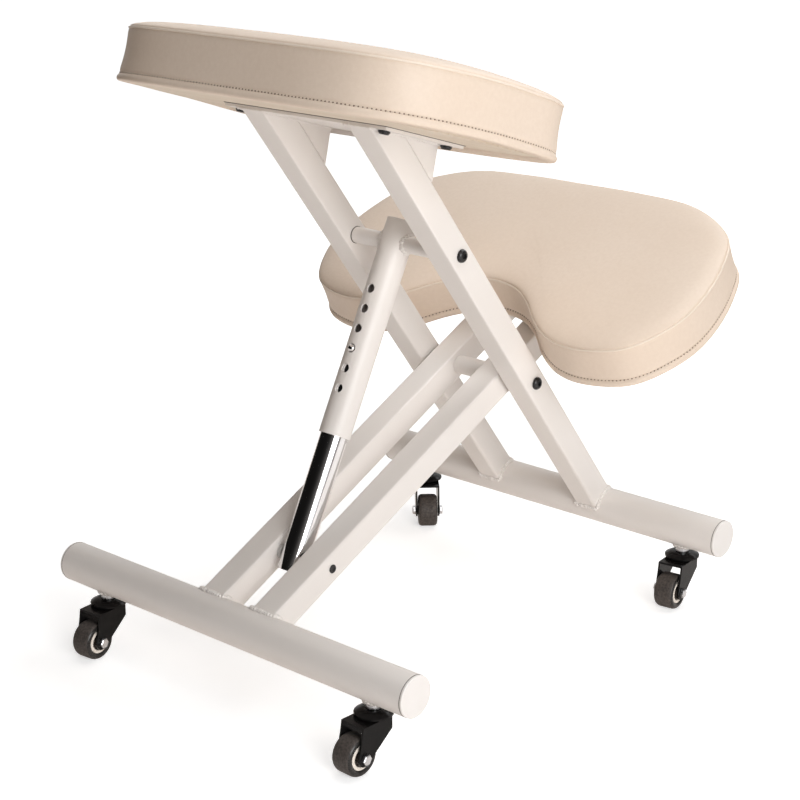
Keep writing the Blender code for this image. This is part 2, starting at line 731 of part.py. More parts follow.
# Pin through the knee legs at the strut's foot, and a bush inside each leg
pin_half = knee_leg_outside - PIN_RIM
pin_mesh = turned(
    "strut_pin",
    [(0.0, pin_half), (PIN_DIA / 2, pin_half), (PIN_DIA / 2, -pin_half), (0.0, -pin_half)],
    BOLT_SIDES,
)
piece("strut_pin", pin_mesh, black_steel, knee_frame, (0.0, 0.0, pin_at), ALONG_X)
bush = tube(
    "strut_bush",
    PIN_BUSH_DIA / 2,
    PIN_DIA / 2 + GAP,
    chrome_radius + GAP,
    knee_leg_inside - GAP,
    HOLE_SIDES,
)
for side, turn in (("left", ALONG_X), ("right", ALONG_MINUS_X)):
    piece(f"strut_bush_{side}", bush, nylon, knee_frame, (0.0, 0.0, pin_at), turn)

# Snap button in its hole, and the leaf spring that holds it out
flange_radius = BUTTON_FLANGE_DIA / 2
flange_top = math.sqrt(chrome_bore**2 - flange_radius**2) - GAP
button_top = STRUT_DIA / 2 + BUTTON_PROUD
button_radius = BUTTON_DIA / 2
button_mesh = turned(
    "snap_button",
    [
        (0.0, button_top),
        (button_radius * 0.6, button_top - BUTTON_PROUD * 0.2),
        (button_radius * 0.9, button_top - BUTTON_PROUD * 0.55),
        (button_radius, button_top - BUTTON_PROUD),
        (button_radius, flange_top),
        (flange_radius, flange_top),
        (flange_radius, flange_top - BUTTON_FLANGE),
        (0.0, flange_top - BUTTON_FLANGE),
    ],
    HOLE_SIDES,
)
piece("snap_button", button_mesh, chrome, strut, (0.0, 0.0, button_at), ALONG_Y)
spring_front = flange_top - BUTTON_FLANGE - GAP
spring_back = -math.sqrt(chrome_bore**2 - SPRING_WIDTH**2 / 4) + GAP
bend = (spring_front - spring_back) / 2
bend_at = -SPRING_LENGTH + bend
spring_loop = (
    [(spring_back, SPRING_LENGTH / 3), (spring_back, bend_at)]
    + arc(spring_back + bend, bend_at, bend, 180.0, 360.0, 8)[1:]
    + [(spring_front, flange_radius), (spring_front - SPRING_STRIP, flange_radius)]
    + arc(spring_back + bend, bend_at, bend - SPRING_STRIP, 360.0, 180.0, 8)
    + [(spring_back + SPRING_STRIP, SPRING_LENGTH / 3)]
)
spring_mesh = sheet("button_spring", [spring_loop], SPRING_WIDTH)
piece("button_spring", spring_mesh, zinc, strut, (0.0, 0.0, button_at), SIDE_ON)

# Seat: plate, board, cushion and screws
seat_half = seat_leg_outside + SEAT_SCREW_TO_LEG + SCREW_HEAD_DIA / 2 + SEAT_SCREW_INSET
seat_places = corner_places(-seat_half, seat_half, -SEAT_PLATE_FRONT, SEAT_PLATE_REAR, SEAT_SCREW_INSET)
seat_plate_loops = [
    rounded_rectangle(-seat_half, seat_half, -SEAT_PLATE_FRONT, SEAT_PLATE_REAR, LEG_CORNER)
] + [circle(x, y, SCREW_DIA / 2 + GAP) for x, y in seat_places.values()]
seat_plate = sheet("seat_plate", seat_plate_loops, SEAT_PLATE_THICKNESS)
piece("seat_plate", seat_plate, white_paint, seat_mount, (0.0, 0.0, SEAT_PLATE_THICKNESS / 2))
seat_outline = smooth_outline(SEAT_OUTLINE, SEAT_OUTLINE_STEPS)
seat_base = SEAT_PLATE_THICKNESS + GAP
seat_board_holes = [(x, y - SEAT_SETBACK) for x, y in seat_places.values()]
piece(
    "seat_board",
    board("seat_board", seat_outline, seat_board_holes),
    plywood,
    seat_mount,
    (0.0, SEAT_SETBACK, seat_base + BOARD_THICKNESS / 2),
)
piece(
    "seat_cushion",
    cushion("seat_cushion", seat_outline, SEAT_SEAM, SEAT_CROWN),
    cream_vinyl,
    seat_mount,
    (0.0, SEAT_SETBACK, seat_base),
)
seat_screw = screw_up("seat_screw", SEAT_PLATE_THICKNESS)
for place, (x, y) in seat_places.items():
    piece(f"seat_screw_{place}", seat_screw, black_steel, seat_mount, (x, y, 0.0))

# Knee pad: plate on top of the knee legs, board, cushion and screws
knee_half = knee_leg_outside + KNEE_SCREW_TO_LEG + SCREW_HEAD_DIA / 2 + KNEE_SCREW_INSET
knee_end = KNEE_PLATE_LENGTH / 2
knee_places = corner_places(-knee_half, knee_half, -knee_end, knee_end, KNEE_SCREW_INSET)
knee_plate_loops = [rounded_rectangle(-knee_half, knee_half, -knee_end, knee_end, LEG_CORNER)]
knee_plate_loops += [circle(x, y, SCREW_DIA / 2 + GAP) for x, y in knee_places.values()]
knee_plate = sheet("knee_plate", knee_plate_loops, KNEE_PLATE_THICKNESS)
piece("knee_plate", knee_plate, white_paint, knee_mount, (0.0, 0.0, KNEE_PLATE_THICKNESS / 2))
knee_outline = smooth_outline(KNEE_OUTLINE, KNEE_OUTLINE_STEPS)
knee_base = KNEE_PLATE_THICKNESS + GAP
piece(
    "knee_board",
    board("knee_board", knee_outline, list(knee_places.values())),
    plywood,
    knee_mount,
    (0.0, 0.0, knee_base + BOARD_THICKNESS / 2),
)
piece(
    "knee_pad",
    cushion("knee_pad", knee_outline, KNEE_SEAM, KNEE_CROWN),
    cream_vinyl,
    knee_mount,
    (0.0, 0.0, knee_base),
)
knee_screw = screw_up("knee_screw", KNEE_PLATE_THICKNESS)
for place, (x, y) in knee_places.items():
    piece(f"knee_screw_{place}", knee_screw, black_steel, knee_mount, (x, y, 0.0))

# Castor fork: a bent channel trimmed to its side view, with the swivel cap on top
wheel_radius = WHEEL_DIA / 2
fork_inside = TYRE_WIDTH / 2 + FORK_ROOM
fork_outside = fork_inside + FORK_PLATE
fork_bottom = wheel_radius - FORK_LUG_DIA / 2
fork_under = FORK_TOP - FORK_PLATE
channel_loop = [
    (fork_outside, 0.0),
    (fork_outside, FORK_TOP),
    (-fork_outside, FORK_TOP),
    (-fork_outside, 0.0),
    (-fork_inside, 0.0),
    (-fork_inside, fork_under),
    (fork_inside, fork_under),
    (fork_inside, 0.0),
]
channel_length = 4 * (CASTOR_TRAIL + FORK_LUG_DIA)
side_loop = (
    [(-FORK_LEAD, FORK_TOP + FORK_PLATE), (-FORK_LEAD, FORK_TOP - FORK_FRONT_DROP)]
    + arc(CASTOR_TRAIL, wheel_radius, FORK_LUG_DIA / 2, 220.0, 375.0, 10)
    + [(FORK_BACK + FORK_PLATE, FORK_TOP - FORK_REAR_DROP), (FORK_BACK, FORK_TOP + FORK_PLATE)]
)
channel = sheet("castor_fork", [channel_loop], channel_length)
channel.transform(Matrix.Rotation(math.pi / 2, 4, "X"))
fork = piece("castor_fork", channel, None, None)
cap_radius = SWIVEL_CAP_DIA / 2
cap_low = FORK_TOP - FORK_PLATE / 2
cap_rise = (CASTOR_HEIGHT - FORK_TOP) / 2
cap_tool_mesh = turned(
    "swivel_cap",
    [
        (0.0, CASTOR_HEIGHT),
        (SWIVEL_CAP_NECK_DIA / 2, CASTOR_HEIGHT),
        (cap_radius * 0.82, FORK_TOP + cap_rise + SWIVEL_CAP_EDGE),
        (cap_radius, FORK_TOP + cap_rise),
        (cap_radius, FORK_TOP + cap_rise - SWIVEL_CAP_EDGE),
        (SWIVEL_CAP_FOOT_DIA / 2, cap_low),
        (0.0, cap_low),
    ],
    WHEEL_SIDES,
)
side_view = sheet("fork_side_view", [side_loop], 3 * TYRE_WIDTH)
stem_bore = drum("stem_bore", STEM_DIA / 2 + GAP, 3 * CASTOR_HEIGHT)
axle_bore = drum("axle_bore", AXLE_DIA / 2 + GAP, 3 * TYRE_WIDTH)
axle_at = (0.0, CASTOR_TRAIL, wheel_radius)
fork_tools = [
    (cutter("fork_side_view", side_view, None, turn=SIDE_ON), "INTERSECT"),
    (cutter("swivel_cap", cap_tool_mesh, None), "UNION"),
    (cutter("stem_bore", stem_bore, None), "DIFFERENCE"),
    (cutter("axle_bore", axle_bore, None, axle_at, ALONG_X), "DIFFERENCE"),
]
for tool, operation in fork_tools:
    cut(fork, tool, operation)
fork_mesh = baked(fork)
for tool, _ in fork_tools:
    bpy.data.objects.remove(tool, do_unlink=True)

# Wheel: a tyre whose flats touch the floor, a dished hub and an axle bolt with its nut
tread = wheel_radius / math.cos(math.pi / WHEEL_SIDES)
tyre_half = TYRE_WIDTH / 2
tyre_mesh = turned(
    "castor_tyre",
    [
        (tread - TYRE_SHOULDER, tyre_half),
        (tread - TYRE_SHOULDER * 0.3, tyre_half - TYRE_SHOULDER * 0.3),
        (tread, tyre_half - TYRE_SHOULDER),
        (tread, TYRE_SHOULDER - tyre_half),
        (tread - TYRE_SHOULDER * 0.3, TYRE_SHOULDER * 0.3 - tyre_half),
        (tread - TYRE_SHOULDER, -tyre_half),
        (HUB_DIA / 2, -HUB_WIDTH / 2),
        (HUB_DIA / 2, HUB_WIDTH / 2),
    ],
    WHEEL_SIDES,
    ring=True,
)
hub_radius = HUB_DIA / 2 - GAP
hub_half = HUB_WIDTH / 2
web_half = hub_half - HUB_DISH
hub_bore = AXLE_DIA / 2 + GAP
hub_mesh = turned(
    "castor_hub",
    [
        (hub_radius, hub_half),
        (hub_radius, -hub_half),
        (HUB_DISH_DIA / 2, -hub_half),
        (HUB_DISH_DIA / 2, -web_half),
        (AXLE_DIA, -web_half),
        (AXLE_DIA, GAP - fork_inside),
        (hub_bore, GAP - fork_inside),
        (hub_bore, fork_inside - GAP),
        (AXLE_DIA, fork_inside - GAP),
        (AXLE_DIA, web_half),
        (HUB_DISH_DIA / 2, web_half),
        (HUB_DISH_DIA / 2, hub_half),
    ],
    WHEEL_SIDES,
    ring=True,
)
head_seat = fork_outside + GAP
head_end = head_seat + AXLE_HEAD
axle_mesh = turned(
    "castor_axle",
    [
        (0.0, head_end),
        (AXLE_HEAD_DIA / 2, head_end),
        (AXLE_HEAD_DIA / 2, head_seat),
        (AXLE_DIA / 2, head_seat),
        (AXLE_DIA / 2, -head_seat),
        (AXLE_HEAD_DIA / 2, -head_seat),
        (AXLE_HEAD_DIA / 2, -head_end),
        (0.0, -head_end),
    ],
    BOLT_SIDES,
)

# Castor stem, riveted under the fork, with its nut under the boss of the foot tube
rivet_top = fork_under - GAP
stem_mesh = turned(
    "castor_stem",
    [
        (0.0, stem_top),
        (STEM_DIA / 2, stem_top),
        (STEM_DIA / 2, nut_high),
        (STEM_NUT_DIA / 2, nut_high),
        (STEM_NUT_DIA / 2, nut_low),
        (STEM_DIA / 2, nut_low),
        (STEM_DIA / 2, rivet_top),
        (STEM_RIVET_DIA / 2, rivet_top),
        (STEM_RIVET_DIA / 2, rivet_top - STEM_RIVET),
        (0.0, rivet_top - STEM_RIVET),
    ],
    BOLT_SIDES,
)
for place, degrees in CASTOR_TURNS.items():
    end, side = place.split("_")
    x = CASTOR_SETOUT if side == "left" else -CASTOR_SETOUT
    stand = empty(f"castor_{place}", (x, 0.0, -foot_height), parent=feet[end])
    swivel = empty(f"swivel_{place}", (0.0, 0.0, 0.0), (0.0, 0.0, math.radians(degrees)), stand)
    piece(f"castor_stem_{place}", stem_mesh, zinc, stand)
    piece(f"castor_fork_{place}", fork_mesh, black_fork, swivel)
    piece(f"castor_axle_{place}", axle_mesh, zinc, swivel, axle_at, ALONG_X)
    piece(f"castor_hub_{place}", hub_mesh, cream_hub, swivel, axle_at, ALONG_X)
    piece(f"castor_tyre_{place}", tyre_mesh, dark_tyre, swivel, axle_at, ALONG_X)

# Points that the cuts leave almost on top of each other are joined
for obj in chair.objects:
    if obj.modifiers:
        weld = obj.modifiers.new("weld", "WELD")
        weld.merge_threshold = WELD_DISTANCE
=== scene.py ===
# Kneeling chair: cushions, seams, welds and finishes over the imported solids
import json
import math

import bmesh
import bpy
from mathutils import Matrix, Vector
from mathutils.bvhtree import BVHTree


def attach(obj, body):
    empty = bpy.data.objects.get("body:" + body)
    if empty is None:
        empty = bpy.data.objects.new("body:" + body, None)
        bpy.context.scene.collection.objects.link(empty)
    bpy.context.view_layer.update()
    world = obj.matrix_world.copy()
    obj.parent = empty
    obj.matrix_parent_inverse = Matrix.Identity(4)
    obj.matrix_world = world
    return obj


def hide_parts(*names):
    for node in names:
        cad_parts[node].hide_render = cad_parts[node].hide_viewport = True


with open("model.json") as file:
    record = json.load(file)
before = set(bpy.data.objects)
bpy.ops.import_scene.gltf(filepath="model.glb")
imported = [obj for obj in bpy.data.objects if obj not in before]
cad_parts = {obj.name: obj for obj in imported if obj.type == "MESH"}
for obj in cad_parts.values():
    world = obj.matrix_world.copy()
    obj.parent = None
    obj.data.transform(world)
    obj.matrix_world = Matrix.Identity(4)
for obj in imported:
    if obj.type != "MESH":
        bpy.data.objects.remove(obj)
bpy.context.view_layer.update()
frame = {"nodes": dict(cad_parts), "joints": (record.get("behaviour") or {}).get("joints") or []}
scene = bpy.context.scene
scene.view_settings.view_transform = "Standard"
print("frame loaded:", len(frame["nodes"]), "solids")


def addNode(tree, kind, inputs=(), **settings):
    node = tree.nodes.new(kind)
    for key, value in settings.items():
        setattr(node, key, value)
    for label, value in dict(inputs).items():
        node.inputs[label].default_value = value
    return node


def linkAll(tree, rows):
    for source, output, goal, entry in rows:
        tree.links.new(source.outputs[output], goal.inputs[entry])


def placed(name, data):
    thing = bpy.data.objects.new(name, data)
    scene.collection.objects.link(thing)
    return thing


def opaque(colour):
    return (*colour, 1.0)


# finishes are laid out in object coordinates
def newFinish(name):
    finish = bpy.data.materials.new(name)
    finish.use_nodes = True
    tree = finish.node_tree
    return finish, tree, tree.nodes["Principled BSDF"], addNode(tree, "ShaderNodeTexCoord").outputs["Object"]


# camera, solved from the straight tubes in the photograph
viewFinder = {
    "place": (-1.230268, 1.401689, 0.843675), "ahead": (0.63338, -0.710527, -0.306563),
    "lens": 86.115, "sensor": 36.0,
}
cameraData = bpy.data.cameras.new("viewFinder")
cameraData.sensor_width = viewFinder["sensor"]
cameraData.lens = viewFinder["lens"]
camera = placed("viewFinder", cameraData)
camera.location = viewFinder["place"]
camera.rotation_euler = Vector(viewFinder["ahead"]).to_track_quat("-Z", "Y").to_euler()
scene.camera = camera

# lamps: a low softbox on the camera's right, soft ones overhead and in front, and a weak warm one on the left
lampPlan = {
    "keyBox": {"place": (-2.155, 1.005, 1.0925), "watts": 43.0, "colour": (1.0, 1.0, 1.0)},
    "skyBox": {"place": (0.0, 0.0, 2.82), "watts": 14.0, "colour": (1.0, 1.0, 1.0)},
    "frontTopBox": {"place": (-0.662, -0.662, 2.638), "watts": 18.6, "colour": (1.0, 1.0, 1.0)},
    "frontBox": {"place": (0.0, -1.768, 2.088), "watts": 17.0, "colour": (1.0, 1.0, 1.0)},
    "leftBox": {"place": (1.768, 0.0, 2.088), "watts": 3.6, "colour": (1.0, 0.79, 0.64)},
}
lampAim, lampSize = Vector((0.0, 0.0, 0.32)), 1.4
for lampName, plan in lampPlan.items():
    lampData = bpy.data.lights.new(lampName, "AREA")
    lampData.shape = "SQUARE"
    lampData.size = lampSize
    lampData.energy = plan["watts"]
    lampData.color = plan["colour"]
    lamp = placed(lampName, lampData)
    lamp.location = plan["place"]
    lamp.rotation_euler = (lampAim - Vector(plan["place"])).to_track_quat("-Z", "Y").to_euler()

# room: white to the camera and in reflections, and almost dark in the light it gives
roomLook = {"fill": 0.01, "seen": 1.0, "fillColour": (1.0, 0.92, 0.865), "seenColour": (1.0, 1.0, 1.0)}
room = bpy.data.worlds.new("whiteRoom")
scene.world = room
room.use_nodes = True
roomTree = room.node_tree
roomTree.nodes.clear()
seenBy = addNode(roomTree, "ShaderNodeLightPath")
eitherRay = addNode(roomTree, "ShaderNodeMath", operation="MAXIMUM")
anyRay = addNode(roomTree, "ShaderNodeMath", operation="MAXIMUM")
strength = addNode(roomTree, "ShaderNodeMapRange", {"To Min": roomLook["fill"], "To Max": roomLook["seen"]})
roomColour = addNode(roomTree, "ShaderNodeMix", {
    "A": opaque(roomLook["fillColour"]), "B": opaque(roomLook["seenColour"]),
}, data_type="RGBA")
backdrop = addNode(roomTree, "ShaderNodeBackground")
roomOut = addNode(roomTree, "ShaderNodeOutputWorld")
linkAll(roomTree, (
    (seenBy, "Is Camera Ray", eitherRay, 0),
    (seenBy, "Is Glossy Ray", eitherRay, 1),
    (eitherRay, 0, anyRay, 0),
    (seenBy, "Is Transmission Ray", anyRay, 1),
    (anyRay, 0, strength, "Value"),
    (strength, "Result", backdrop, "Strength"),
    (anyRay, 0, roomColour, "Factor"),
    (roomColour, "Result", backdrop, "Color"),
    (backdrop, "Background", roomOut, "Surface"),
))

# white floor: paper that is lifted to white for the camera and throws back a dimmer, warmer light
floorLook = {
    "reach": 9.0, "paper": 0.84, "roughness": 0.9, "specular": 0.1, "seenColour": (1.0, 1.0, 1.0),
    "lift": 0.58, "whiteFrom": 0.55, "whiteBy": 1.3,
    "bounce": 0.27, "bounceColour": (1.0, 0.84, 0.73), "mirror": 0.35,
}
floorMesh = bpy.data.meshes.new("paperFloor")
reach = floorLook["reach"]
floorCorners = [(-reach, -reach, 0), (reach, -reach, 0), (reach, reach, 0), (-reach, reach, 0)]
floorMesh.from_pydata(floorCorners, [], [(0, 1, 2, 3)])
floor = placed("paperFloor", floorMesh)
paper, paperTree, paperShader, paperPlace = newFinish("floorPaper")
paperShader.inputs["Base Color"].default_value = opaque((floorLook["paper"],) * 3)
paperShader.inputs["Roughness"].default_value = floorLook["roughness"]
paperShader.inputs["Specular IOR Level"].default_value = floorLook["specular"]
paperSeen = addNode(paperTree, "ShaderNodeLightPath")
paperAway = addNode(paperTree, "ShaderNodeVectorMath", operation="LENGTH")
paperLift = addNode(paperTree, "ShaderNodeMapRange", {
    "From Min": floorLook["whiteFrom"], "From Max": floorLook["whiteBy"],
    "To Min": floorLook["lift"], "To Max": 1.0,
}, interpolation_type="SMOOTHSTEP")
paperMirror = addNode(paperTree, "ShaderNodeMix", {"A": floorLook["bounce"], "B": floorLook["mirror"]})
paperGlow = addNode(paperTree, "ShaderNodeMix")
paperTint = addNode(paperTree, "ShaderNodeMix", {
    "A": opaque(floorLook["bounceColour"]), "B": opaque(floorLook["seenColour"]),
}, data_type="RGBA")
paperTree.links.new(paperPlace, paperAway.inputs[0])
linkAll(paperTree, (
    (paperAway, "Value", paperLift, "Value"),
    (paperSeen, "Is Glossy Ray", paperMirror, "Factor"),
    (paperSeen, "Is Camera Ray", paperGlow, "Factor"),
    (paperMirror, "Result", paperGlow, "A"),
    (paperLift, "Result", paperGlow, "B"),
    (paperGlow, "Result", paperShader, "Emission Strength"),
    (paperSeen, "Is Camera Ray", paperTint, "Factor"),
    (paperTint, "Result", paperShader, "Emission Color"),
))
floorMesh.materials.append(paper)

# curved cards that only reflections see: black on the left, grey on the right, for the bands in the chrome
cardPlan = {
    "radius": 2.6, "low": 0.02, "high": 3.2, "tint": (1.0, 0.94, 0.9),
    "left": ((-8, 0.16), (-3, 0.02), (20, 0.008), (50, 0.008), (80, 0.009), (98, 0.016),
             (108, 0.034), (118, 0.065), (127, 0.11), (133, 0.2), (138, 0.5)),
    "right": ((174, 0.45), (180, 0.32), (190, 0.30), (197, 0.58), (204, 0.32), (216, 0.28),
              (232, 0.34), (250, 0.30), (266, 0.34)),
}
cardMesh = bpy.data.meshes.new("reflectionCards")
cardPoints, cardFaces, cardTones = [], [], []
for arc in ("left", "right"):
    for k, (bearing, tone) in enumerate(cardPlan[arc]):
        turn = math.radians(bearing)
        x, y = cardPlan["radius"] * math.cos(turn), cardPlan["radius"] * math.sin(turn)
        for height in (cardPlan["low"], cardPlan["high"]):
            cardPoints.append((x, y, height))
            cardTones.append(tone)
        if k:
            last = len(cardPoints)
            cardFaces.append((last - 4, last - 2, last - 1, last - 3))
cardMesh.from_pydata(cardPoints, [], cardFaces)
toneLayer = cardMesh.attributes.new("tone", "FLOAT", "POINT")
toneLayer.data.foreach_set("value", cardTones)
card = placed("reflectionCards", cardMesh)
felt = bpy.data.materials.new("cardFelt")
felt.use_nodes = True
feltTree = felt.node_tree
feltTree.nodes.remove(feltTree.nodes["Principled BSDF"])
feltTone = addNode(feltTree, "ShaderNodeAttribute", attribute_name="tone")
feltGlow = addNode(feltTree, "ShaderNodeEmission", {"Color": opaque(cardPlan["tint"])})
feltTree.links.new(feltTone.outputs["Fac"], feltGlow.inputs["Strength"])
feltTree.links.new(feltGlow.outputs["Emission"], feltTree.nodes["Material Output"].inputs["Surface"])
cardMesh.materials.append(felt)
for ray in ("camera", "diffuse", "transmission", "volume_scatter", "shadow"):
    setattr(card, "visible_" + ray, False)
print("camera, lamps and room set")


def noiseOn(tree, place, size, detail=3.0, roughness=0.55, stretch=None, turn=(0.0, 0.0, 0.0)):
    noise = addNode(tree, "ShaderNodeTexNoise", {
        "Scale": 1.0 / size, "Detail": detail, "Roughness": roughness,
    })
    if stretch:
        run = {"Rotation": turn, "Scale": stretch}
        mapping = addNode(tree, "ShaderNodeMapping", run, vector_type="TEXTURE")
        tree.links.new(place, mapping.inputs["Vector"])
        place = mapping.outputs["Vector"]
    tree.links.new(place, noise.inputs["Vector"])
    return noise.outputs["Fac"]


def spread(tree, value, low=0.0, high=1.0, fromLow=0.3, fromHigh=0.7):
    ramp = addNode(tree, "ShaderNodeMapRange", {
        "From Min": fromLow, "From Max": fromHigh, "To Min": low, "To Max": high,
    })
    tree.links.new(value, ramp.inputs["Value"])
    return ramp.outputs["Result"]


def mixColours(tree, factor, first, second):
    mix = addNode(tree, "ShaderNodeMix", data_type="RGBA")
    for socket, colour in ((mix.inputs["A"], first), (mix.inputs["B"], second)):
        if isinstance(colour, tuple):
            socket.default_value = opaque(colour)
        else:
            tree.links.new(colour, socket)
    tree.links.new(factor, mix.inputs["Factor"])
    return mix.outputs["Result"]


def addBump(tree, shader, height, depth, under=None):
    bump = addNode(tree, "ShaderNodeBump", {"Strength": 1.0, "Distance": depth})
    tree.links.new(height, bump.inputs["Height"])
    if under:
        tree.links.new(under, bump.inputs["Normal"])
    tree.links.new(bump.outputs["Normal"], shader.inputs["Normal"])
    return bump.outputs["Normal"]


def coat(tree, shader, look, colour, gloss):
    tree.links.new(colour, shader.inputs["Base Color"])
    tree.links.new(spread(tree, gloss, *look["roughness"]), shader.inputs["Roughness"])
    shader.inputs["Metallic"].default_value = look.get("metal", 0.0)
    shader.inputs["Specular IOR Level"].default_value = look.get("specular", 0.5)


# a finish of one colour drifting to another, with uneven gloss and a fine skin
def plainFinish(name, look):
    finish, tree, shader, place = newFinish(name)
    drift = spread(tree, noiseOn(tree, place, look["patch"]))
    colour = mixColours(tree, drift, look["colour"], look["drift"])
    coat(tree, shader, look, colour, noiseOn(tree, place, look["glossPatch"], detail=4.0))
    skin = addBump(tree, shader, noiseOn(tree, place, look["skin"], detail=2.0), look["skinDepth"])
    if "lean" in look:
        turn = (math.radians(look["lean"]), 0.0, 0.0)
        marks = noiseOn(tree, place, look["mark"], stretch=(1.0, 1.0, look["markStretch"]), turn=turn)
        addBump(tree, shader, marks, look["markDepth"], skin)
    return finish


# two colours, the sizes of their patches and of the gloss's, roughness, and the skin's size and depth
lookParts = ("colour", "drift", "patch", "glossPatch", "roughness", "skin", "skinDepth")
finishLooks = {
    "whitePaint": ((0.82, 0.780, 0.746), (0.805, 0.762, 0.725), 0.11, 0.02, (0.36, 0.46), 0.0016, 0.00007),
    "whitePlastic": ((0.82, 0.79, 0.765), (0.80, 0.765, 0.735), 0.03, 0.008, (0.40, 0.50), 0.0009, 0.00003),
    "zincPlate": ((0.66, 0.67, 0.69), (0.56, 0.56, 0.57), 0.004, 0.003, (0.22, 0.38), 0.0008, 0.00004),
    "blackOxide": ((0.016, 0.016, 0.018), (0.026, 0.025, 0.025), 0.004, 0.003, (0.22, 0.36), 0.0007, 0.00003),
    "blackEnamel": ((0.006, 0.006, 0.006), (0.010, 0.009, 0.009), 0.012, 0.006, (0.14, 0.24), 0.002, 0.00004),
    "tyreRubber": ((0.026, 0.021, 0.019), (0.08, 0.065, 0.056), 0.0022, 0.004, (0.55, 0.75), 0.0011, 0.00012),
    "creamHub": ((0.86, 0.80, 0.73), (0.83, 0.76, 0.68), 0.012, 0.004, (0.35, 0.45), 0.0010, 0.00002),
    "tyreWall": ((0.012, 0.011, 0.010), (0.018, 0.016, 0.015), 0.006, 0.004, (0.22, 0.34), 0.0015, 0.00003),
    # painted shade: the hub's recess faces are coloured dark brown for the shade inside the recess
    "hubRecessShade": ((0.035, 0.026, 0.021), (0.055, 0.041, 0.033), 0.003, 0.003, (0.40, 0.55), 0.0009, 0.00004),
    "jointShadow": ((0.10, 0.085, 0.075), (0.16, 0.14, 0.125), 0.004, 0.003, (0.6, 0.75), 0.0008, 0.00004),
    # painted shade: dark dots where the needle holes are, between the stitches
    "needleHoleShade": ((0.19, 0.130, 0.095), (0.25, 0.175, 0.13), 0.002, 0.002, (0.7, 0.8), 0.0005, 0.00003),
    # painted highlight: the welt is the cushion vinyl painted lighter, for the bright line along the seam
    "weltHighlightVinyl": ((0.82, 0.715, 0.61), (0.79, 0.68, 0.57), 0.05, 0.006, (0.38, 0.5), 0.0010, 0.00004),
    "greyNylon": ((0.58, 0.57, 0.55), (0.52, 0.51, 0.49), 0.008, 0.004, (0.45, 0.58), 0.0009, 0.00003),
    "seamThread": ((0.80, 0.70, 0.60), (0.70, 0.59, 0.48), 0.0016, 0.002, (0.60, 0.75), 0.0004, 0.00008),
}
finishLooks = {name: dict(zip(lookParts, parts)) for name, parts in finishLooks.items()}
# metals, dull blacks, and the leg paint, which is the white one with drawing marks along the tube
for name, extra in (
    ("zincPlate", {"metal": 1.0}), ("blackOxide", {"metal": 0.35}),
    ("blackEnamel", {"specular": 0.10}), ("tyreWall", {"specular": 0.4}),
):
    finishLooks[name].update(extra)
legMarks = {"skinDepth": 0.00006, "mark": 0.0022, "markDepth": 0.00008, "markStretch": 90.0}
for name, lean in (("seatLegPaint", -38.03), ("kneeLegPaint", 64.06)):
    finishLooks[name] = {**finishLooks["whitePaint"], **legMarks, "lean": lean}
finishes = {name: plainFinish(name, look) for name, look in finishLooks.items()}


# vinyl: a fine pebble grain, faint larger creases and an even, slightly waxy gloss
def vinylFinish(name, look):
    finish, tree, shader, place = newFinish(name)
    drift = spread(tree, noiseOn(tree, place, look["patch"], detail=2.0))
    mottle = spread(tree, noiseOn(tree, place, look["mottlePatch"], detail=2.0), high=look["mottle"])
    base = mixColours(tree, drift, look["colour"], look["drift"])
    colour = mixColours(tree, mottle, base, look["shade"])
    coat(tree, shader, look, colour, noiseOn(tree, place, look["glossPatch"]))
    pebbles = addNode(tree, "ShaderNodeTexVoronoi", {"Scale": 1.0 / look["pebble"]}, feature="SMOOTH_F1")
    tree.links.new(place, pebbles.inputs["Vector"])
    creases = addBump(tree, shader, noiseOn(tree, place, look["crease"]), look["creaseDepth"])
    addBump(tree, shader, pebbles.outputs["Distance"], look["pebbleDepth"], creases)
    return finish


finishes["creamVinyl"] = vinylFinish("creamVinyl", {
    "colour": (0.785, 0.662, 0.552), "drift": (0.760, 0.632, 0.518), "shade": (0.70, 0.570, 0.460),
    "patch": 0.12, "mottle": 0.35, "mottlePatch": 0.0039, "roughness": (0.40, 0.52), "glossPatch": 0.012,
    "pebble": 0.0013, "pebbleDepth": 0.00007, "crease": 0.006, "creaseDepth": 0.00010, "specular": 0.30,
})


# chrome with faint rub marks along the tube
def chromeFinish(name, look):
    finish, tree, shader, place = newFinish(name)
    turn = (math.radians(look["lean"]), 0.0, 0.0)
    rub = noiseOn(tree, place, look["rub"], detail=4.0, stretch=(1.0, 1.0, look["rubStretch"]), turn=turn)
    smudge = noiseOn(tree, place, look["smudge"], detail=2.0)
    coat(tree, shader, look, mixColours(tree, spread(tree, smudge), look["colour"], look["drift"]), rub)
    addBump(tree, shader, rub, look["rubDepth"])
    return finish


finishes["chrome"] = chromeFinish("chrome", {
    "colour": (0.80, 0.80, 0.81), "drift": (0.74, 0.73, 0.73), "roughness": (0.045, 0.10),
    "rub": 0.0009, "rubStretch": 60.0, "rubDepth": 0.000004, "smudge": 0.03, "lean": 27.15, "metal": 1.0,
})


# plywood: long grain with darker lines
def woodFinish(name, look):
    finish, tree, shader, place = newFinish(name)
    grainRun, flameRun = (look["grainStretch"], 1.0, 1.0), (look["flameStretch"], 1.0, 1.0)
    grain = noiseOn(tree, place, look["grain"], detail=6.0, roughness=0.6, stretch=grainRun)
    flame = noiseOn(tree, place, look["flame"], detail=2.0, stretch=flameRun)
    ground = mixColours(tree, spread(tree, flame), look["colour"], look["drift"])
    lines = spread(tree, grain, 0.0, look["lineShare"], *look["lineFrom"])
    coat(tree, shader, look, mixColours(tree, lines, ground, look["line"]), grain)
    addBump(tree, shader, grain, look["depth"])
    return finish


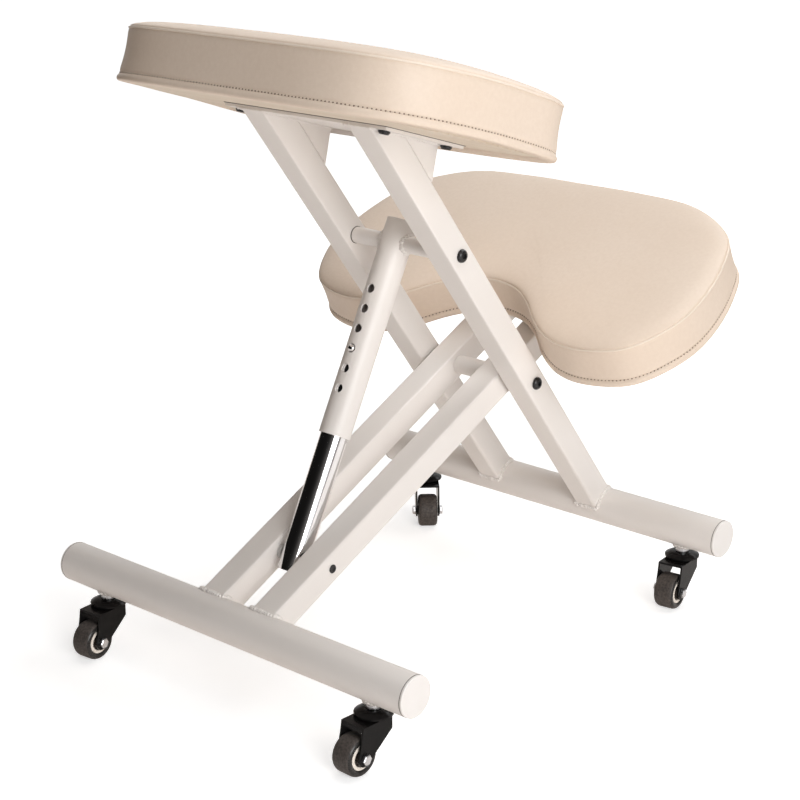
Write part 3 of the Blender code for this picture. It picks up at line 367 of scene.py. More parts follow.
finishes["palePly"] = woodFinish("palePly", {
    "colour": (0.76, 0.67, 0.56), "drift": (0.71, 0.61, 0.49), "line": (0.58, 0.46, 0.34), "lineShare": 0.7,
    "lineFrom": (0.5, 0.75), "grain": 0.0035, "grainStretch": 22.0, "flame": 0.03, "flameStretch": 5.0,
    "roughness": (0.6, 0.75), "depth": 0.00015,
})
print("finishes made:", len(finishes))

# which finish each solid takes, by the start of its name
solidFinish = {
    "rear_cap": "whitePlastic", "front_cap": "whitePlastic", "knee_leg_plug": "greyNylon",
    "seat_leg": "seatLegPaint", "knee_leg": "kneeLegPaint", "pivot_washer": "greyNylon",
    "pivot_bolt": "blackOxide", "strut_top_bolt": "blackOxide", "strut_pin": "blackOxide",
    "strut_inner_tube": "chrome", "strut_bush": "greyNylon", "snap_button": "chrome",
    "button_spring": "zincPlate", "seat_board": "palePly", "knee_board": "palePly",
    "seat_screw": "blackOxide", "knee_screw": "blackOxide", "castor_stem": "zincPlate",
    "castor_fork": "blackEnamel", "castor_axle": "zincPlate", "castor_hub": "creamHub",
    "castor_tyre": "tyreRubber", "seat_cushion": "creamVinyl", "knee_pad": "creamVinyl",
}


def addSocket(tree, label, kind, value=None, way="INPUT"):
    socket = tree.interface.new_socket(label, in_out=way, socket_type="NodeSocket" + kind)
    if value is not None:
        socket.default_value = value


# nodes that shade a solid's round faces smooth and keep its sharp edges
def smoothTree():
    tree = bpy.data.node_groups.new("smoothRounds", "GeometryNodeTree")
    addSocket(tree, "Solid", "Geometry")
    addSocket(tree, "Sharp Angle", "Float", 0.6)
    addSocket(tree, "Shaded", "Geometry", way="OUTPUT")
    start, end = addNode(tree, "NodeGroupInput"), addNode(tree, "NodeGroupOutput")
    allSmooth = addNode(tree, "GeometryNodeSetShadeSmooth", {"Shade Smooth": True}, domain="FACE")
    sharpOnes = addNode(tree, "GeometryNodeSetShadeSmooth", {"Shade Smooth": False}, domain="EDGE")
    angle = addNode(tree, "GeometryNodeInputMeshEdgeAngle")
    compare = addNode(tree, "FunctionNodeCompare", operation="GREATER_THAN")
    linkAll(tree, (
        (start, "Solid", allSmooth, "Geometry"),
        (allSmooth, "Geometry", sharpOnes, "Geometry"),
        (angle, "Unsigned Angle", compare, "A"),
        (start, "Sharp Angle", compare, "B"),
        (compare, "Result", sharpOnes, "Selection"),
        (sharpOnes, "Geometry", end, "Shaded"),
    ))
    return tree


def socketId(tree, label):
    return next(item.identifier for item in tree.interface.items_tree if item.name == label)


edgeLook = {
    "join": 0.000004, "flat": math.radians(0.8), "sharp": math.radians(38.0), "round": 0.0004, "steps": 2,
}
edgeRound = {
    "castor_fork": 0.0005, "strut_outer_tube": 0.0003, "snap_button": 0.0002, "button_spring": 0.0001,
}
rounds = smoothTree()
for name, solid in frame["nodes"].items():
    choice = next((f for start, f in solidFinish.items() if name.startswith(start)), "whitePaint")
    solid.data.materials.clear()
    solid.data.materials.append(finishes[choice])
    join = solid.modifiers.new("join", "WELD")
    join.merge_threshold = edgeLook["join"]
    flat = solid.modifiers.new("flatFaces", "DECIMATE")
    flat.decimate_type = "DISSOLVE"
    flat.angle_limit = edgeLook["flat"]
    soft = solid.modifiers.new("softEdges", "BEVEL")
    soft.width = next((w for start, w in edgeRound.items() if name.startswith(start)), edgeLook["round"])
    soft.segments = edgeLook["steps"]
    soft.limit_method = "ANGLE"
    soft.angle_limit = edgeLook["sharp"]
    shade = solid.modifiers.new("smoothRounds", "NODES")
    shade.node_group = rounds
    shade[socketId(rounds, "Sharp Angle")] = edgeLook["sharp"]
    even = solid.modifiers.new("flatShading", "WEIGHTED_NORMAL")
    even.mode = "FACE_AREA"
    even.weight = 100
    even.keep_sharp = True
print("solids dressed:", len(frame["nodes"]))


# a row of small rounded bits along a path, for stitches, dark dots of painted shade at the needle holes, and
# weld ripples
def rowTree():
    tree = bpy.data.node_groups.new("rowAlongPath", "GeometryNodeTree")
    addSocket(tree, "Path", "Geometry")
    for label, value in (("Pitch", 0.003), ("Length", 0.002), ("Width", 0.001), ("Uneven", 0.0)):
        addSocket(tree, label, "Float", value)
    addSocket(tree, "Finish", "Material")
    addSocket(tree, "Row", "Geometry", way="OUTPUT")
    start, end = addNode(tree, "NodeGroupInput"), addNode(tree, "NodeGroupOutput")
    toCurve = addNode(tree, "GeometryNodeMeshToCurve")
    even = addNode(tree, "GeometryNodeResampleCurve", mode="LENGTH")
    bit = addNode(tree, "GeometryNodeMeshUVSphere", {"Segments": 6, "Rings": 4, "Radius": 0.5})
    size = addNode(tree, "ShaderNodeCombineXYZ")
    shape = addNode(tree, "GeometryNodeTransform")
    along = addNode(tree, "GeometryNodeInputTangent")
    turn = addNode(tree, "FunctionNodeAlignRotationToVector", axis="Z")
    copies = addNode(tree, "GeometryNodeInstanceOnPoints")
    least = addNode(tree, "ShaderNodeMath", {0: 1.0}, operation="SUBTRACT")
    most = addNode(tree, "ShaderNodeMath", {0: 1.0}, operation="ADD")
    chance = addNode(tree, "FunctionNodeRandomValue", data_type="FLOAT")
    chanceIn = {socket.name: socket for socket in chance.inputs if socket.enabled}
    chanceOut = next(socket for socket in chance.outputs if socket.enabled)
    solidRow = addNode(tree, "GeometryNodeRealizeInstances")
    smooth = addNode(tree, "GeometryNodeSetShadeSmooth")
    paint = addNode(tree, "GeometryNodeSetMaterial")
    tree.links.new(least.outputs["Value"], chanceIn["Min"])
    tree.links.new(most.outputs["Value"], chanceIn["Max"])
    tree.links.new(chanceOut, copies.inputs["Scale"])
    linkAll(tree, (
        (start, "Path", toCurve, "Mesh"),
        (toCurve, "Curve", even, "Curve"),
        (start, "Pitch", even, "Length"),
        (start, "Width", size, "X"),
        (start, "Width", size, "Y"),
        (start, "Length", size, "Z"),
        (bit, "Mesh", shape, "Geometry"),
        (size, "Vector", shape, "Scale"),
        (along, "Tangent", turn, "Vector"),
        (even, "Curve", copies, "Points"),
        (shape, "Geometry", copies, "Instance"),
        (turn, "Rotation", copies, "Rotation"),
        (start, "Uneven", least, 1),
        (start, "Uneven", most, 1),
        (copies, "Instances", solidRow, "Geometry"),
        (solidRow, "Geometry", smooth, "Geometry"),
        (smooth, "Geometry", paint, "Geometry"),
        (start, "Finish", paint, "Material"),
        (paint, "Geometry", end, "Row"),
    ))
    return tree


rows = rowTree()


def newPiece(name, mesh, finish):
    mesh.materials.append(finish)
    return placed(name, mesh)


def meshOf(bm, name):
    mesh = bpy.data.meshes.new(name)
    bm.to_mesh(mesh)
    bm.free()
    return mesh


# the piece's mesh with its modifiers applied
def bakedMesh(piece):
    bpy.context.view_layer.update()
    return bpy.data.meshes.new_from_object(piece.evaluated_get(bpy.context.evaluated_depsgraph_get()))


def unitCircle(count):
    return [(math.cos(2 * math.pi * k / count), math.sin(2 * math.pi * k / count)) for k in range(count)]


def mounted(place, tilt):
    return Matrix.Translation(place) @ Matrix.Rotation(math.radians(tilt), 4, "X")


# where the cushions sit on their frames and the strut's top is hung, as in the part's source
strutTop, kneeTop = (0.027208, 0.41263), (0.0, -0.201071, 0.324853)
mounts = {
    "seat": mounted((0.0, 0.13118, 0.545507), 16.4675),
    "knee": mounted(kneeTop, -25.943),
    "strutTop": mounted((0.0, *strutTop), 27.15),
}


# paths are lists of (points, closed); the result is one plain mesh
def rowPiece(name, paths, look, finish):
    points, edges = [], []
    for path, closed in paths:
        first = len(points)
        points.extend(path)
        edges.extend((first + i, first + i + 1) for i in range(len(path) - 1))
        if closed:
            edges.append((first + len(path) - 1, first))
    guide = bpy.data.meshes.new(name)
    guide.from_pydata(points, edges, [])
    piece = newPiece(name, guide, finish)
    row = piece.modifiers.new("row", "NODES")
    row.node_group = rows
    for label in ("Pitch", "Length", "Width", "Uneven"):
        row[socketId(rows, label)] = look[label.lower()]
    row[socketId(rows, "Finish")] = finish
    result = bakedMesh(piece)
    piece.modifiers.remove(row)
    piece.data = result
    bpy.data.meshes.remove(guide)
    result.name = name
    return piece


# a smooth closed curve through half an outline and its mirror image
def closedCurve(half, perSpan):
    ring = [Vector(p) for p in half] + [Vector((-x, y)) for x, y in reversed(half[1:-1])]
    count = len(ring)
    loop = []
    for i in range(count):
        a, b, c, d = (ring[(i + k) % count] for k in (-1, 0, 1, 2))
        for k in range(perSpan):
            t = k / perSpan
            loop.append(b + (c - a) * (t / 2) + (2 * a - 5 * b + 4 * c - d) * (t * t / 2)
                        + (3 * b - a - 3 * c + d) * (t ** 3 / 2))
    return loop[::-1]


def evenLoop(loop, count):
    lengths = [0.0]
    for i in range(len(loop)):
        lengths.append(lengths[-1] + (loop[(i + 1) % len(loop)] - loop[i]).length)
    result, k = [], 0
    for i in range(count):
        goal = lengths[-1] * i / count
        while lengths[k + 1] < goal:
            k += 1
        share = (goal - lengths[k]) / (lengths[k + 1] - lengths[k])
        result.append(loop[k].lerp(loop[(k + 1) % len(loop)], share))
    return result


def movedIn(loop, distance):
    result = []
    for i, point in enumerate(loop):
        along = (loop[(i + 1) % len(loop)] - loop[i - 1]).normalized()
        result.append(point - Vector((along.y, -along.x)) * distance)
    return result


# side section shared by both cushions: (drawn in, height) from the board pocket up to the lip's stitching
cushionSection = {
    "lip": [(0.0177, 0.0123), (0.0177, 0.0003), (0.0075, 0.0), (0.0031, 0.0002), (0.0011, 0.0010),
            (0.0002, 0.0023), (0.0, 0.0038), (0.0004, 0.0055), (0.0014, 0.0071), (0.0032, 0.0083),
            (0.0022, 0.0096)],
    "perSpan": 24, "bandRings": 9, "bandFoot": 0.0018, "bandFrom": 0.002,
    "seamDip": 0.0013, "seamWidth": 0.0022, "seamLift": 0.0006,
    "edgeRings": (0.0009, 0.0024, 0.0046, 0.0078, 0.012, 0.017),
    "innerShares": (0.93, 0.86, 0.78, 0.69, 0.6, 0.5), "crownReach": 0.15, "bowReach": 0.15,
}
stuffing = {
    "pressure": 4.0, "frames": 20, "quality": 6, "most": 0.0026, "slack": 0.0018, "stiff": 30.0, "bend": 4.0,
    "weight": 0.25, "evenings": 24, "ease": 0.6,
}


def cushionMesh(name, look):
    section = cushionSection
    around = look["around"]
    edge = evenLoop(closedCurve(look["half"], section["perSpan"]), around)
    seam, crown = look["seam"], look["crown"] - stuffing["slack"]
    rings = [(movedIn(edge, inset), z, True) for inset, z in section["lip"]]
    low = section["lip"][-1][1] + section["bandFrom"]
    high = seam - section["seamWidth"]
    for k in range(section["bandRings"]):
        t = k / (section["bandRings"] - 1)
        inset = section["bandFoot"] + (look["head"] - section["bandFoot"]) * t
        inset += look["hollow"] * math.sin(math.pi * t)
        rings.append((movedIn(edge, inset), low + (high - low) * t, k == 0))
    seamRing = len(rings)
    rings.append((movedIn(edge, look["head"] + section["seamDip"]), seam, True))
    sewnEdge = movedIn(edge, look["head"])
    crownFoot = seam + section["seamLift"]

    def rise(depth):
        fall = max(0.0, 1.0 - depth / section["crownReach"]) ** look["power"]
        return crown * math.sqrt(max(0.0, 1.0 - fall))

    def crownAt(point):
        return crownFoot + rise(min((point - q).length for q in sewnEdge))

    # the whole cover is bent a little, highest behind its middle
    def bent(point, z):
        return z + look["rise"] - look["bow"] * ((point.y - look["bowMiddle"]) / section["bowReach"]) ** 2

    for depth in section["edgeRings"]:
        rings.append((movedIn(sewnEdge, depth), crownFoot + rise(depth), False))
    last = rings[-1][0]
    middle = Vector(look["middle"])
    for share in section["innerShares"]:
        rings.append(([middle + (p - middle) * share for p in last], None, False))
    bm = bmesh.new()
    grid = []
    for loop, z, _ in rings:
        heights = [crownAt(p) if z is None else z for p in loop]
        # the pocket's floor stays flat on the board
        if grid:
            heights = [bent(p, height) for p, height in zip(loop, heights)]
        grid.append([bm.verts.new((p.x, p.y, height)) for p, height in zip(loop, heights)])
    pinned = [v for loop, (_, _, held) in zip(grid, rings) if held for v in loop]
    for lower, upper in zip(grid, grid[1:]):
        for i in range(around):
            bm.faces.new((lower[i - 1], lower[i], upper[i], upper[i - 1]))
    # pocket floor, hidden by the board
    hub = bm.verts.new((middle.x, middle.y, rings[0][1]))
    pinned.append(hub)
    for i in range(around):
        bm.faces.new((grid[0][i], grid[0][i - 1], hub))
    # the middle of the crown is a square patch, so no point has many faces
    side = around // 4
    inner, innerLoop = grid[-1], rings[-1][0]
    patch = {}
    for i in range(side + 1):
        for j in range(side + 1):
            u, v = 2 * i - side, 2 * j - side
            r = max(abs(u), abs(v))
            if r == 0:
                where = 0.0
            elif u == r and v < r:
                where = side * (v / r + 1) / 2
            elif v == r and u > -r:
                where = side * (1 + (1 - u / r) / 2)
            elif u == -r and v > -r:
                where = side * (2 + (1 - v / r) / 2)
            else:
                where = side * (3 + (u / r + 1) / 2)
            if r == side:
                patch[i, j] = inner[round(where) % around]
                continue
            k = int(where)
            point = innerLoop[k % around].lerp(innerLoop[(k + 1) % around], where - k)
            point = middle + (point - middle) * (r / side)
            patch[i, j] = bm.verts.new((point.x, point.y, bent(point, crownAt(point))))
    for i in range(side):
        for j in range(side):
            bm.faces.new((patch[i, j], patch[i + 1, j], patch[i + 1, j + 1], patch[i, j + 1]))
    bm.verts.index_update()
    bmesh.ops.recalc_face_normals(bm, faces=bm.faces)
    held = [v.index for v in pinned]
    stitchIndex = [v.index for v in grid[len(section["lip"]) - 2]]
    seamIndex = [v.index for v in grid[seamRing]]
    return meshOf(bm, name), held, stitchIndex, seamIndex


# the cover is blown up from inside while its seams stay where they are sewn
def stuff(cushion, held):
    before = [v.co.copy() for v in cushion.data.vertices]
    sewn = cushion.vertex_groups.new(name="sewn")
    sewn.add(held, 1.0, "REPLACE")
    cloth = cushion.modifiers.new("stuffing", "CLOTH")
    settings = cloth.settings
    settings.quality = stuffing["quality"]
    settings.mass = stuffing["weight"]
    settings.tension_stiffness = settings.compression_stiffness = stuffing["stiff"]
    settings.shear_stiffness = stuffing["stiff"] / 2
    settings.bending_stiffness = stuffing["bend"]
    settings.vertex_group_mass = "sewn"
    settings.use_pressure = True
    settings.uniform_pressure_force = stuffing["pressure"]
    settings.effector_weights.gravity = 0.0
    cloth.collision_settings.use_collision = False
    cloth.point_cache.frame_start = 1
    cloth.point_cache.frame_end = stuffing["frames"]
    for step in range(1, stuffing["frames"] + 1):
        scene.frame_set(step)
    blown = cushion.evaluated_get(bpy.context.evaluated_depsgraph_get()).data
    after = [v.co.copy() for v in blown.vertices]
    cushion.modifiers.remove(cloth)
    cushion.vertex_groups.clear()
    scene.frame_set(1)
    # the cover's small buckles are ironed out, since the photograph shows it taut
    moves = [b - a for a, b in zip(before, after)]
    beside = [[] for _ in before]
    for edge in cushion.data.edges:
        i, j = edge.vertices
        beside[i].append(j)
        beside[j].append(i)
    fixed = set(held)
    for _ in range(stuffing["evenings"]):
        means = [sum((moves[j] for j in near), Vector()) / len(near) for near in beside]
        moves = [move if i in fixed else move.lerp(mean, stuffing["ease"])
                 for i, (move, mean) in enumerate(zip(moves, means))]
    furthest = max(move.length for move in moves)
    share = min(1.0, stuffing["most"] / furthest)
    for vertex, start, move in zip(cushion.data.vertices, before, moves):
        vertex.co = start + move * share
    print(cushion.name, "stuffed, moved by", round(furthest * share * 1000, 2), "mm at most")


def subdivided(piece):
    finer = piece.modifiers.new("finer", "SUBSURF")
    finer.levels = finer.render_levels = 1
    mesh = bakedMesh(piece)
    piece.modifiers.remove(finer)
    old, piece.data = piece.data, mesh
    bpy.data.meshes.remove(old)
    mesh.name = piece.name
    mesh.shade_smooth()


def ropeMesh(name, path, radius, sides=8):
    bm = bmesh.new()
    count = len(path)
    loops = []
    for i, (point, out) in enumerate(path):
        along = (path[(i + 1) % count][0] - path[i - 1][0]).normalized()
        across = along.cross(out).normalized()
        up = across.cross(along)
        loops.append([bm.verts.new(point + (across * c + up * s) * radius) for c, s in unitCircle(sides)])
    for i in range(count):
        for k in range(sides):
            bm.faces.new((loops[i - 1][k - 1], loops[i - 1][k], loops[i][k], loops[i][k - 1]))
    bmesh.ops.recalc_face_normals(bm, faces=bm.faces)
    mesh = meshOf(bm, name)
    mesh.shade_smooth()
    return mesh


cushionLooks = {
    "seatCover": {
        "node": "seat_cushion", "body": "seat_frame", "mount": "seat", "shift": (0.0, -0.0252, 0.0033),
        "fill": 0.85, "seam": 0.0511, "crown": 0.0124, "power": 4.66,
        "rise": 0.0010, "bow": 0.0056, "bowMiddle": 0.0467,
        "middle": (0.0, 0.02), "hollow": 0.0012, "head": 0.0032, "around": 128,
        "half": ((0.0, 0.1600), (0.1047, 0.1559), (0.1591, 0.1395), (0.1926, 0.1040), (0.2083, 0.0529),
                 (0.2125, -0.0064), (0.2093, -0.0565), (0.1852, -0.0880), (0.1172, -0.1039), (0.0, -0.1121)),
    },
    "kneeCover": {
        "node": "knee_pad", "body": "knee_frame", "mount": "knee", "shift": (0.0, 0.0, 0.0053),
        "fill": 0.85, "seam": 0.0455, "crown": 0.0105, "power": 9.0,
        "rise": 0.0, "bow": 0.0, "bowMiddle": 0.0,
        "middle": (0.0, -0.025), "hollow": 0.0006, "head": 0.0022, "around": 144,
        "half": ((0.0, 0.060), (0.032, 0.0655), (0.060, 0.083), (0.088, 0.109), (0.122, 0.1285),
                 (0.162, 0.132), (0.208, 0.116), (0.237, 0.069), (0.2425, 0.020), (0.232, -0.035),
                 (0.210, -0.078), (0.150, -0.113), (0.076, -0.121), (0.0, -0.1215)),
    },
}
stitchLook = {"pitch": 0.0039, "length": 0.0023, "width": 0.0015, "proud": 0.0004, "uneven": 0.08}
holeShadeLook = {"pitch": 0.0039, "length": 0.0015, "width": 0.0016, "proud": 0.0002, "uneven": 0.12}
weltLook = {"radius": 0.0010, "proud": 0.0005}
for name, look in cushionLooks.items():
    mesh, held, stitchIndex, seamIndex = cushionMesh(name, look)
    cover = newPiece(name, mesh, finishes["creamVinyl"])
    stuff(cover, held)
    stitchGuide = [cover.data.vertices[i].co.copy() for i in stitchIndex]
    seamGuide = [cover.data.vertices[i].co.copy() for i in seamIndex]
    subdivided(cover)
    seat = mounts[look["mount"]] @ Matrix.Translation(look["shift"])
    cover.data.transform(seat)
    cover.data.update()
    skinPoints = [v.co for v in cover.data.vertices]
    skin = BVHTree.FromPolygons(skinPoints, [p.vertices for p in cover.data.polygons])

    def onSkin(guide, proud):
        path = []
        for point in guide:
            spot, normal, _, _ = skin.find_nearest(seat @ point)
            path.append((spot + normal * proud, normal))
        return path

    seamPath = onSkin(seamGuide, weltLook["proud"])
    sewnPath = [p for p, _ in onSkin(stitchGuide, stitchLook["proud"])]
    holePath = [p for p, _ in onSkin(stitchGuide, holeShadeLook["proud"])]
    # the dark dots of painted shade at the needle holes lie half a pitch further on than the stitches
    firstHole = holePath[0].lerp(holePath[1], stitchLook["pitch"] / 2 / (holePath[1] - holePath[0]).length)
    holePath = [firstHole] + holePath[1:] + holePath[:1]
    # the welt takes the lighter vinyl, a painted highlight along the seam
    weltMesh = ropeMesh(name + "Welt", seamPath, weltLook["radius"])
    welt = newPiece(name + "Welt", weltMesh, finishes["weltHighlightVinyl"])
    stitches = rowPiece(name + "Stitches", [(sewnPath, True)], stitchLook, finishes["seamThread"])
    holes = rowPiece(name + "NeedleHoleShade", [(holePath, True)], holeShadeLook, finishes["needleHoleShade"])
    for piece in (cover, welt, stitches, holes):
        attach(piece, look["body"])
    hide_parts(look["node"])
    print(name, "made:", len(cover.data.polygons), "faces")


# weld beads: rows of flattened drops along the welded joints
weldLook = {"pitch": 0.0030, "length": 0.0042, "width": 0.0058, "uneven": 0.22}
fineWeldLook = {"pitch": 0.0026, "length": 0.0033, "width": 0.0034, "uneven": 0.2}
jointPlan = {
    "footRadius": 0.020, "footHeight": 0.0826, "rearY": 0.261904, "frontY": -0.230942,
    "legHalf": 0.015, "legCorner": 0.0035, "seatLegX": 0.0687, "kneeLegX": 0.0345,
    "seatSlope": 51.96745, "kneeSlope": 25.94315, "bossX": 0.1828, "bossRadius": 0.00825,
    "strutRadius": 0.016, "crossRadius": 0.00835,
    "beadOut": 0.0008, "beadSide": 0.0004, "pathStep": 0.004, "ringPoints": 28,
}
plateJoint = {"rear": 0.0262, "front": -0.0722, "drop": -0.0002, "cuts": 12}
restJoint = {"inset": 0.001, "reach": 0.048, "drop": -0.0012, "shares": (-1.0, -0.5, 0.0, 0.5, 1.0)}


def roundedSquare(half, corner, steps=4):
    loop = []
    for quarter in range(4):
        cx = (half - corner) * (1 if quarter in (0, 3) else -1)
        cy = (half - corner) * (1 if quarter in (0, 1) else -1)
        for k in range(steps + 1):
            a = math.pi / 2 * (quarter + k / steps)
            loop.append((cx + corner * math.cos(a), cy + corner * math.sin(a)))
    finer = []
    for i, (x, y) in enumerate(loop):
        nextX, nextY = loop[(i + 1) % len(loop)]
        cuts = max(1, int(math.hypot(nextX - x, nextY - y) / jointPlan["pathStep"]))
        finer.extend((x + (nextX - x) * k / cuts, y + (nextY - y) * k / cuts) for k in range(cuts))
    return finer


def slopeUp(degrees, way):
    return Vector((0.0, way * math.cos(math.radians(degrees)), math.sin(math.radians(degrees))))


# where a square leg meets its round foot tube
def footWeld(legX, footY, along):
    plan = jointPlan
    across = Vector((0.0, -along.z, along.y))
    foot = Vector((legX, footY, plan["footHeight"]))
    radius = plan["footRadius"] + plan["beadOut"]
    path = []
    for x, y in roundedSquare(plan["legHalf"] + plan["beadSide"], plan["legCorner"]):
        path.append(foot + Vector((x, 0.0, 0.0)) + across * y + along * math.sqrt(radius ** 2 - y ** 2))
    return path, True


# round the foot of a castor's collar, on the underside of the foot tube
def collarWeld(x, footY):
    plan = jointPlan
    path = []
    for c, s in unitCircle(plan["ringPoints"]):
        dx, dy = plan["bossRadius"] * c, plan["bossRadius"] * s
        drop = math.sqrt(plan["footRadius"] ** 2 - dy ** 2)
        path.append(Vector((x + dx, footY + dy, plan["footHeight"] - drop)))
    return path, True


# under the seat plate, round the top of a leg and its gusset
def plateWeld(legX):
    half, cuts = jointPlan["legHalf"] + jointPlan["beadSide"], plateJoint["cuts"]
    rear, front = plateJoint["rear"], plateJoint["front"]
    corners = [(half, rear), (-half, rear), (-half, front), (half, front)]
    path = []
    for i, (x, y) in enumerate(corners):
        nextX, nextY = corners[(i + 1) % len(corners)]
        for k in range(cuts):
            point = (legX + x + (nextX - x) * k / cuts, y + (nextY - y) * k / cuts, plateJoint["drop"])
            path.append(mounts["seat"] @ Vector(point))
    return path, True


# along the sides of a knee leg, under the knee plate
def restWelds(legX):
    rest = mounted(kneeTop, -jointPlan["kneeSlope"])
    side = jointPlan["legHalf"] - restJoint["inset"]
    paths = []
    for x in (legX - side, legX + side):
        line = [Vector((x, share * restJoint["reach"], restJoint["drop"])) for share in restJoint["shares"]]
        paths.append(([rest @ point for point in line], False))
    return paths


# round the cross tube where it passes through the strut
def strutWelds():
    strutRadius, crossRadius = jointPlan["strutRadius"], jointPlan["crossRadius"]
    paths = []
    for side in (1, -1):
        loop = []
        for c, s in unitCircle(jointPlan["ringPoints"]):
            y, z = crossRadius * c, crossRadius * s
            loop.append(mounts["strutTop"] @ Vector((side * math.sqrt(strutRadius ** 2 - y ** 2), y, z)))
        paths.append((loop, True))
    return paths


seatUp, kneeUp = slopeUp(jointPlan["seatSlope"], 1), slopeUp(jointPlan["kneeSlope"], -1)
seatWelds, plateWelds, kneeWelds = [], [], []
for sign in (1, -1):
    seatLegX, kneeLegX, bossX = (sign * jointPlan[key] for key in ("seatLegX", "kneeLegX", "bossX"))
    seatWelds.append(footWeld(seatLegX, jointPlan["frontY"], seatUp))
    seatWelds.append(collarWeld(bossX, jointPlan["frontY"]))
    plateWelds.append(plateWeld(seatLegX))
    kneeWelds.append(footWeld(kneeLegX, jointPlan["rearY"], kneeUp))
    kneeWelds.extend(restWelds(kneeLegX))
    kneeWelds.append(collarWeld(bossX, jointPlan["rearY"]))
weldPlan = {
    "seatFrameWelds": (seatWelds, weldLook, "seat_frame"),
    "seatPlateWelds": (plateWelds, fineWeldLook, "seat_frame"),
    "kneeFrameWelds": (kneeWelds, weldLook, "knee_frame"),
    "strutWelds": (strutWelds(), weldLook, "strut_outer"),
}
for name, (paths, look, body) in weldPlan.items():
    welds = rowPiece(name, paths, look, finishes["whitePaint"])
    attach(welds, body)
print("welds run")

# turned and hexagonal pieces: edges that turn by more than this, in radians, stay sharp
softTurn = 0.7


def smoothMesh(bm, name):
    bmesh.ops.recalc_face_normals(bm, faces=bm.faces)
    for edge in bm.edges:
        edge.smooth = edge.calc_face_angle() < softTurn
    for face in bm.faces:
        face.smooth = True
    return meshOf(bm, name)


# side faces between neighbouring loops, with the first and the last loop closed
def capped(bm, loops):
    sides = []
    for low, high in zip(loops, loops[1:]):
        sides += [bm.faces.new((low[k - 1], low[k], high[k], high[k - 1])) for k in range(len(low))]
    for end in (loops[0], loops[-1]):
        bm.faces.new(end)
    return sides


# the points of half a profile are (radius, along the axis, finish number of the face that follows)
def turnedMesh(name, look):
    half, steps = look["half"], look["steps"]
    back = [(radius, along, half[max(0, i - 1)][2]) for i, (radius, along, _) in enumerate(half)]
    profile = [(radius, -along, number) for radius, along, number in half] + back[::-1]
    bm = bmesh.new()
    rings = []
    for radius, along, _ in profile:
        rings.append([bm.verts.new((along, radius * c, radius * s)) for c, s in unitCircle(steps)])
    for j, (_, _, number) in enumerate(profile):
        first, second = rings[j], rings[(j + 1) % len(rings)]
        for k in range(steps):
            face = bm.faces.new((first[k - 1], first[k], second[k], second[k - 1]))
            face.material_index = number
    return smoothMesh(bm, name)


# a hexagonal head with turned-off corners at each end of a plain shank
def hexBoltMesh(name, look):
    bm = bmesh.new()
    across, start, end = look["across"], look["headFrom"], look["headFrom"] + look["head"]
    levels = [(across * look["foot"], start), (across, start + look["footChamfer"]),
              (across, end - look["chamfer"]), (across * look["pinch"], end)]
    for sign in (1, -1):
        capped(bm, [[bm.verts.new((sign * x, c * r, s * r)) for c, s in unitCircle(6)] for r, x in levels])
    shankEnd, circle = start + look["overlap"], unitCircle(look["shankSteps"])
    shank = [[bm.verts.new((x, look["radius"] * c, look["radius"] * s)) for c, s in circle]
             for x in (-shankEnd, shankEnd)]
    for face in capped(bm, shank):
        face.smooth = True
    bmesh.ops.recalc_face_normals(bm, faces=bm.faces)
    return meshOf(bm, name)


tyreLook = {
    "half": [(0.0124, 0.0094, 1), (0.0133, 0.0104, 1), (0.0146, 0.0109, 1), (0.0159, 0.0110, 1),
             (0.0170, 0.0106, 1), (0.0179, 0.0098, 0), (0.0185, 0.0087, 0), (0.0189, 0.0073, 0),
             (0.0190, 0.0058, 0), (0.0190, 0.0020, 0)],
    "steps": 64,
}
# faces with finish number 1 take the dark painted shade of the recess
hubLook = {
    "half": [(0.0031, 0.0117, 1), (0.0052, 0.0117, 1), (0.0053, 0.0115, 1), (0.0053, 0.0068, 1),
             (0.0084, 0.0066, 1), (0.0088, 0.0071, 0), (0.0089, 0.0095, 0), (0.0092, 0.0100, 0),
             (0.0101, 0.0100, 0), (0.0103, 0.0097, 0), (0.0106, 0.0097, 0), (0.0108, 0.0100, 0),
             (0.0117, 0.0100, 0), (0.0121, 0.0098, 0), (0.01225, 0.0092, 0)],
    "steps": 48,
}
axleLook = {
    "radius": 0.00298, "headFrom": 0.0143, "head": 0.0036, "across": 0.0052, "chamfer": 0.0007,
    "pinch": 0.80, "foot": 0.97, "footChamfer": 0.0003, "overlap": 0.0005, "shankSteps": 16,
}
# each wheel piece's shape, look, finishes, solid, body and slot, by the start of its name
wheelPlan = {
    "tyre_": (turnedMesh, tyreLook, ("tyreRubber", "tyreWall"), "castor_tyre_", "wheel_", "dark_grey_tyre"),
    "hub_": (turnedMesh, hubLook, ("creamHub", "hubRecessShade"), "castor_hub_", "wheel_", "cream_hub"),
    "axle_": (hexBoltMesh, axleLook, ("zincPlate",), "castor_axle_", "fork_", "zinc_plated_steel"),
}
joints = {joint["name"]: joint for joint in frame["joints"]}
for corner in ("rear_left", "rear_right", "front_left", "front_right"):
    spin = joints["wheel_spin_" + corner]
    turn = Vector((1.0, 0.0, 0.0)).rotation_difference(Vector(spin["axis"]))
    hold = Matrix.Translation(spin["pos_m"]) @ turn.to_matrix().to_4x4()
    for start, (shaped, look, coats, node, body, slotName) in wheelPlan.items():
        piece = newPiece(start + corner, shaped(start + corner, look), finishes[coats[0]])
        for coat in coats[1:]:
            piece.data.materials.append(finishes[coat])
        piece.data.transform(hold)
        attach(piece, body + corner)
        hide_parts(node + corner)
print("wheels turned")

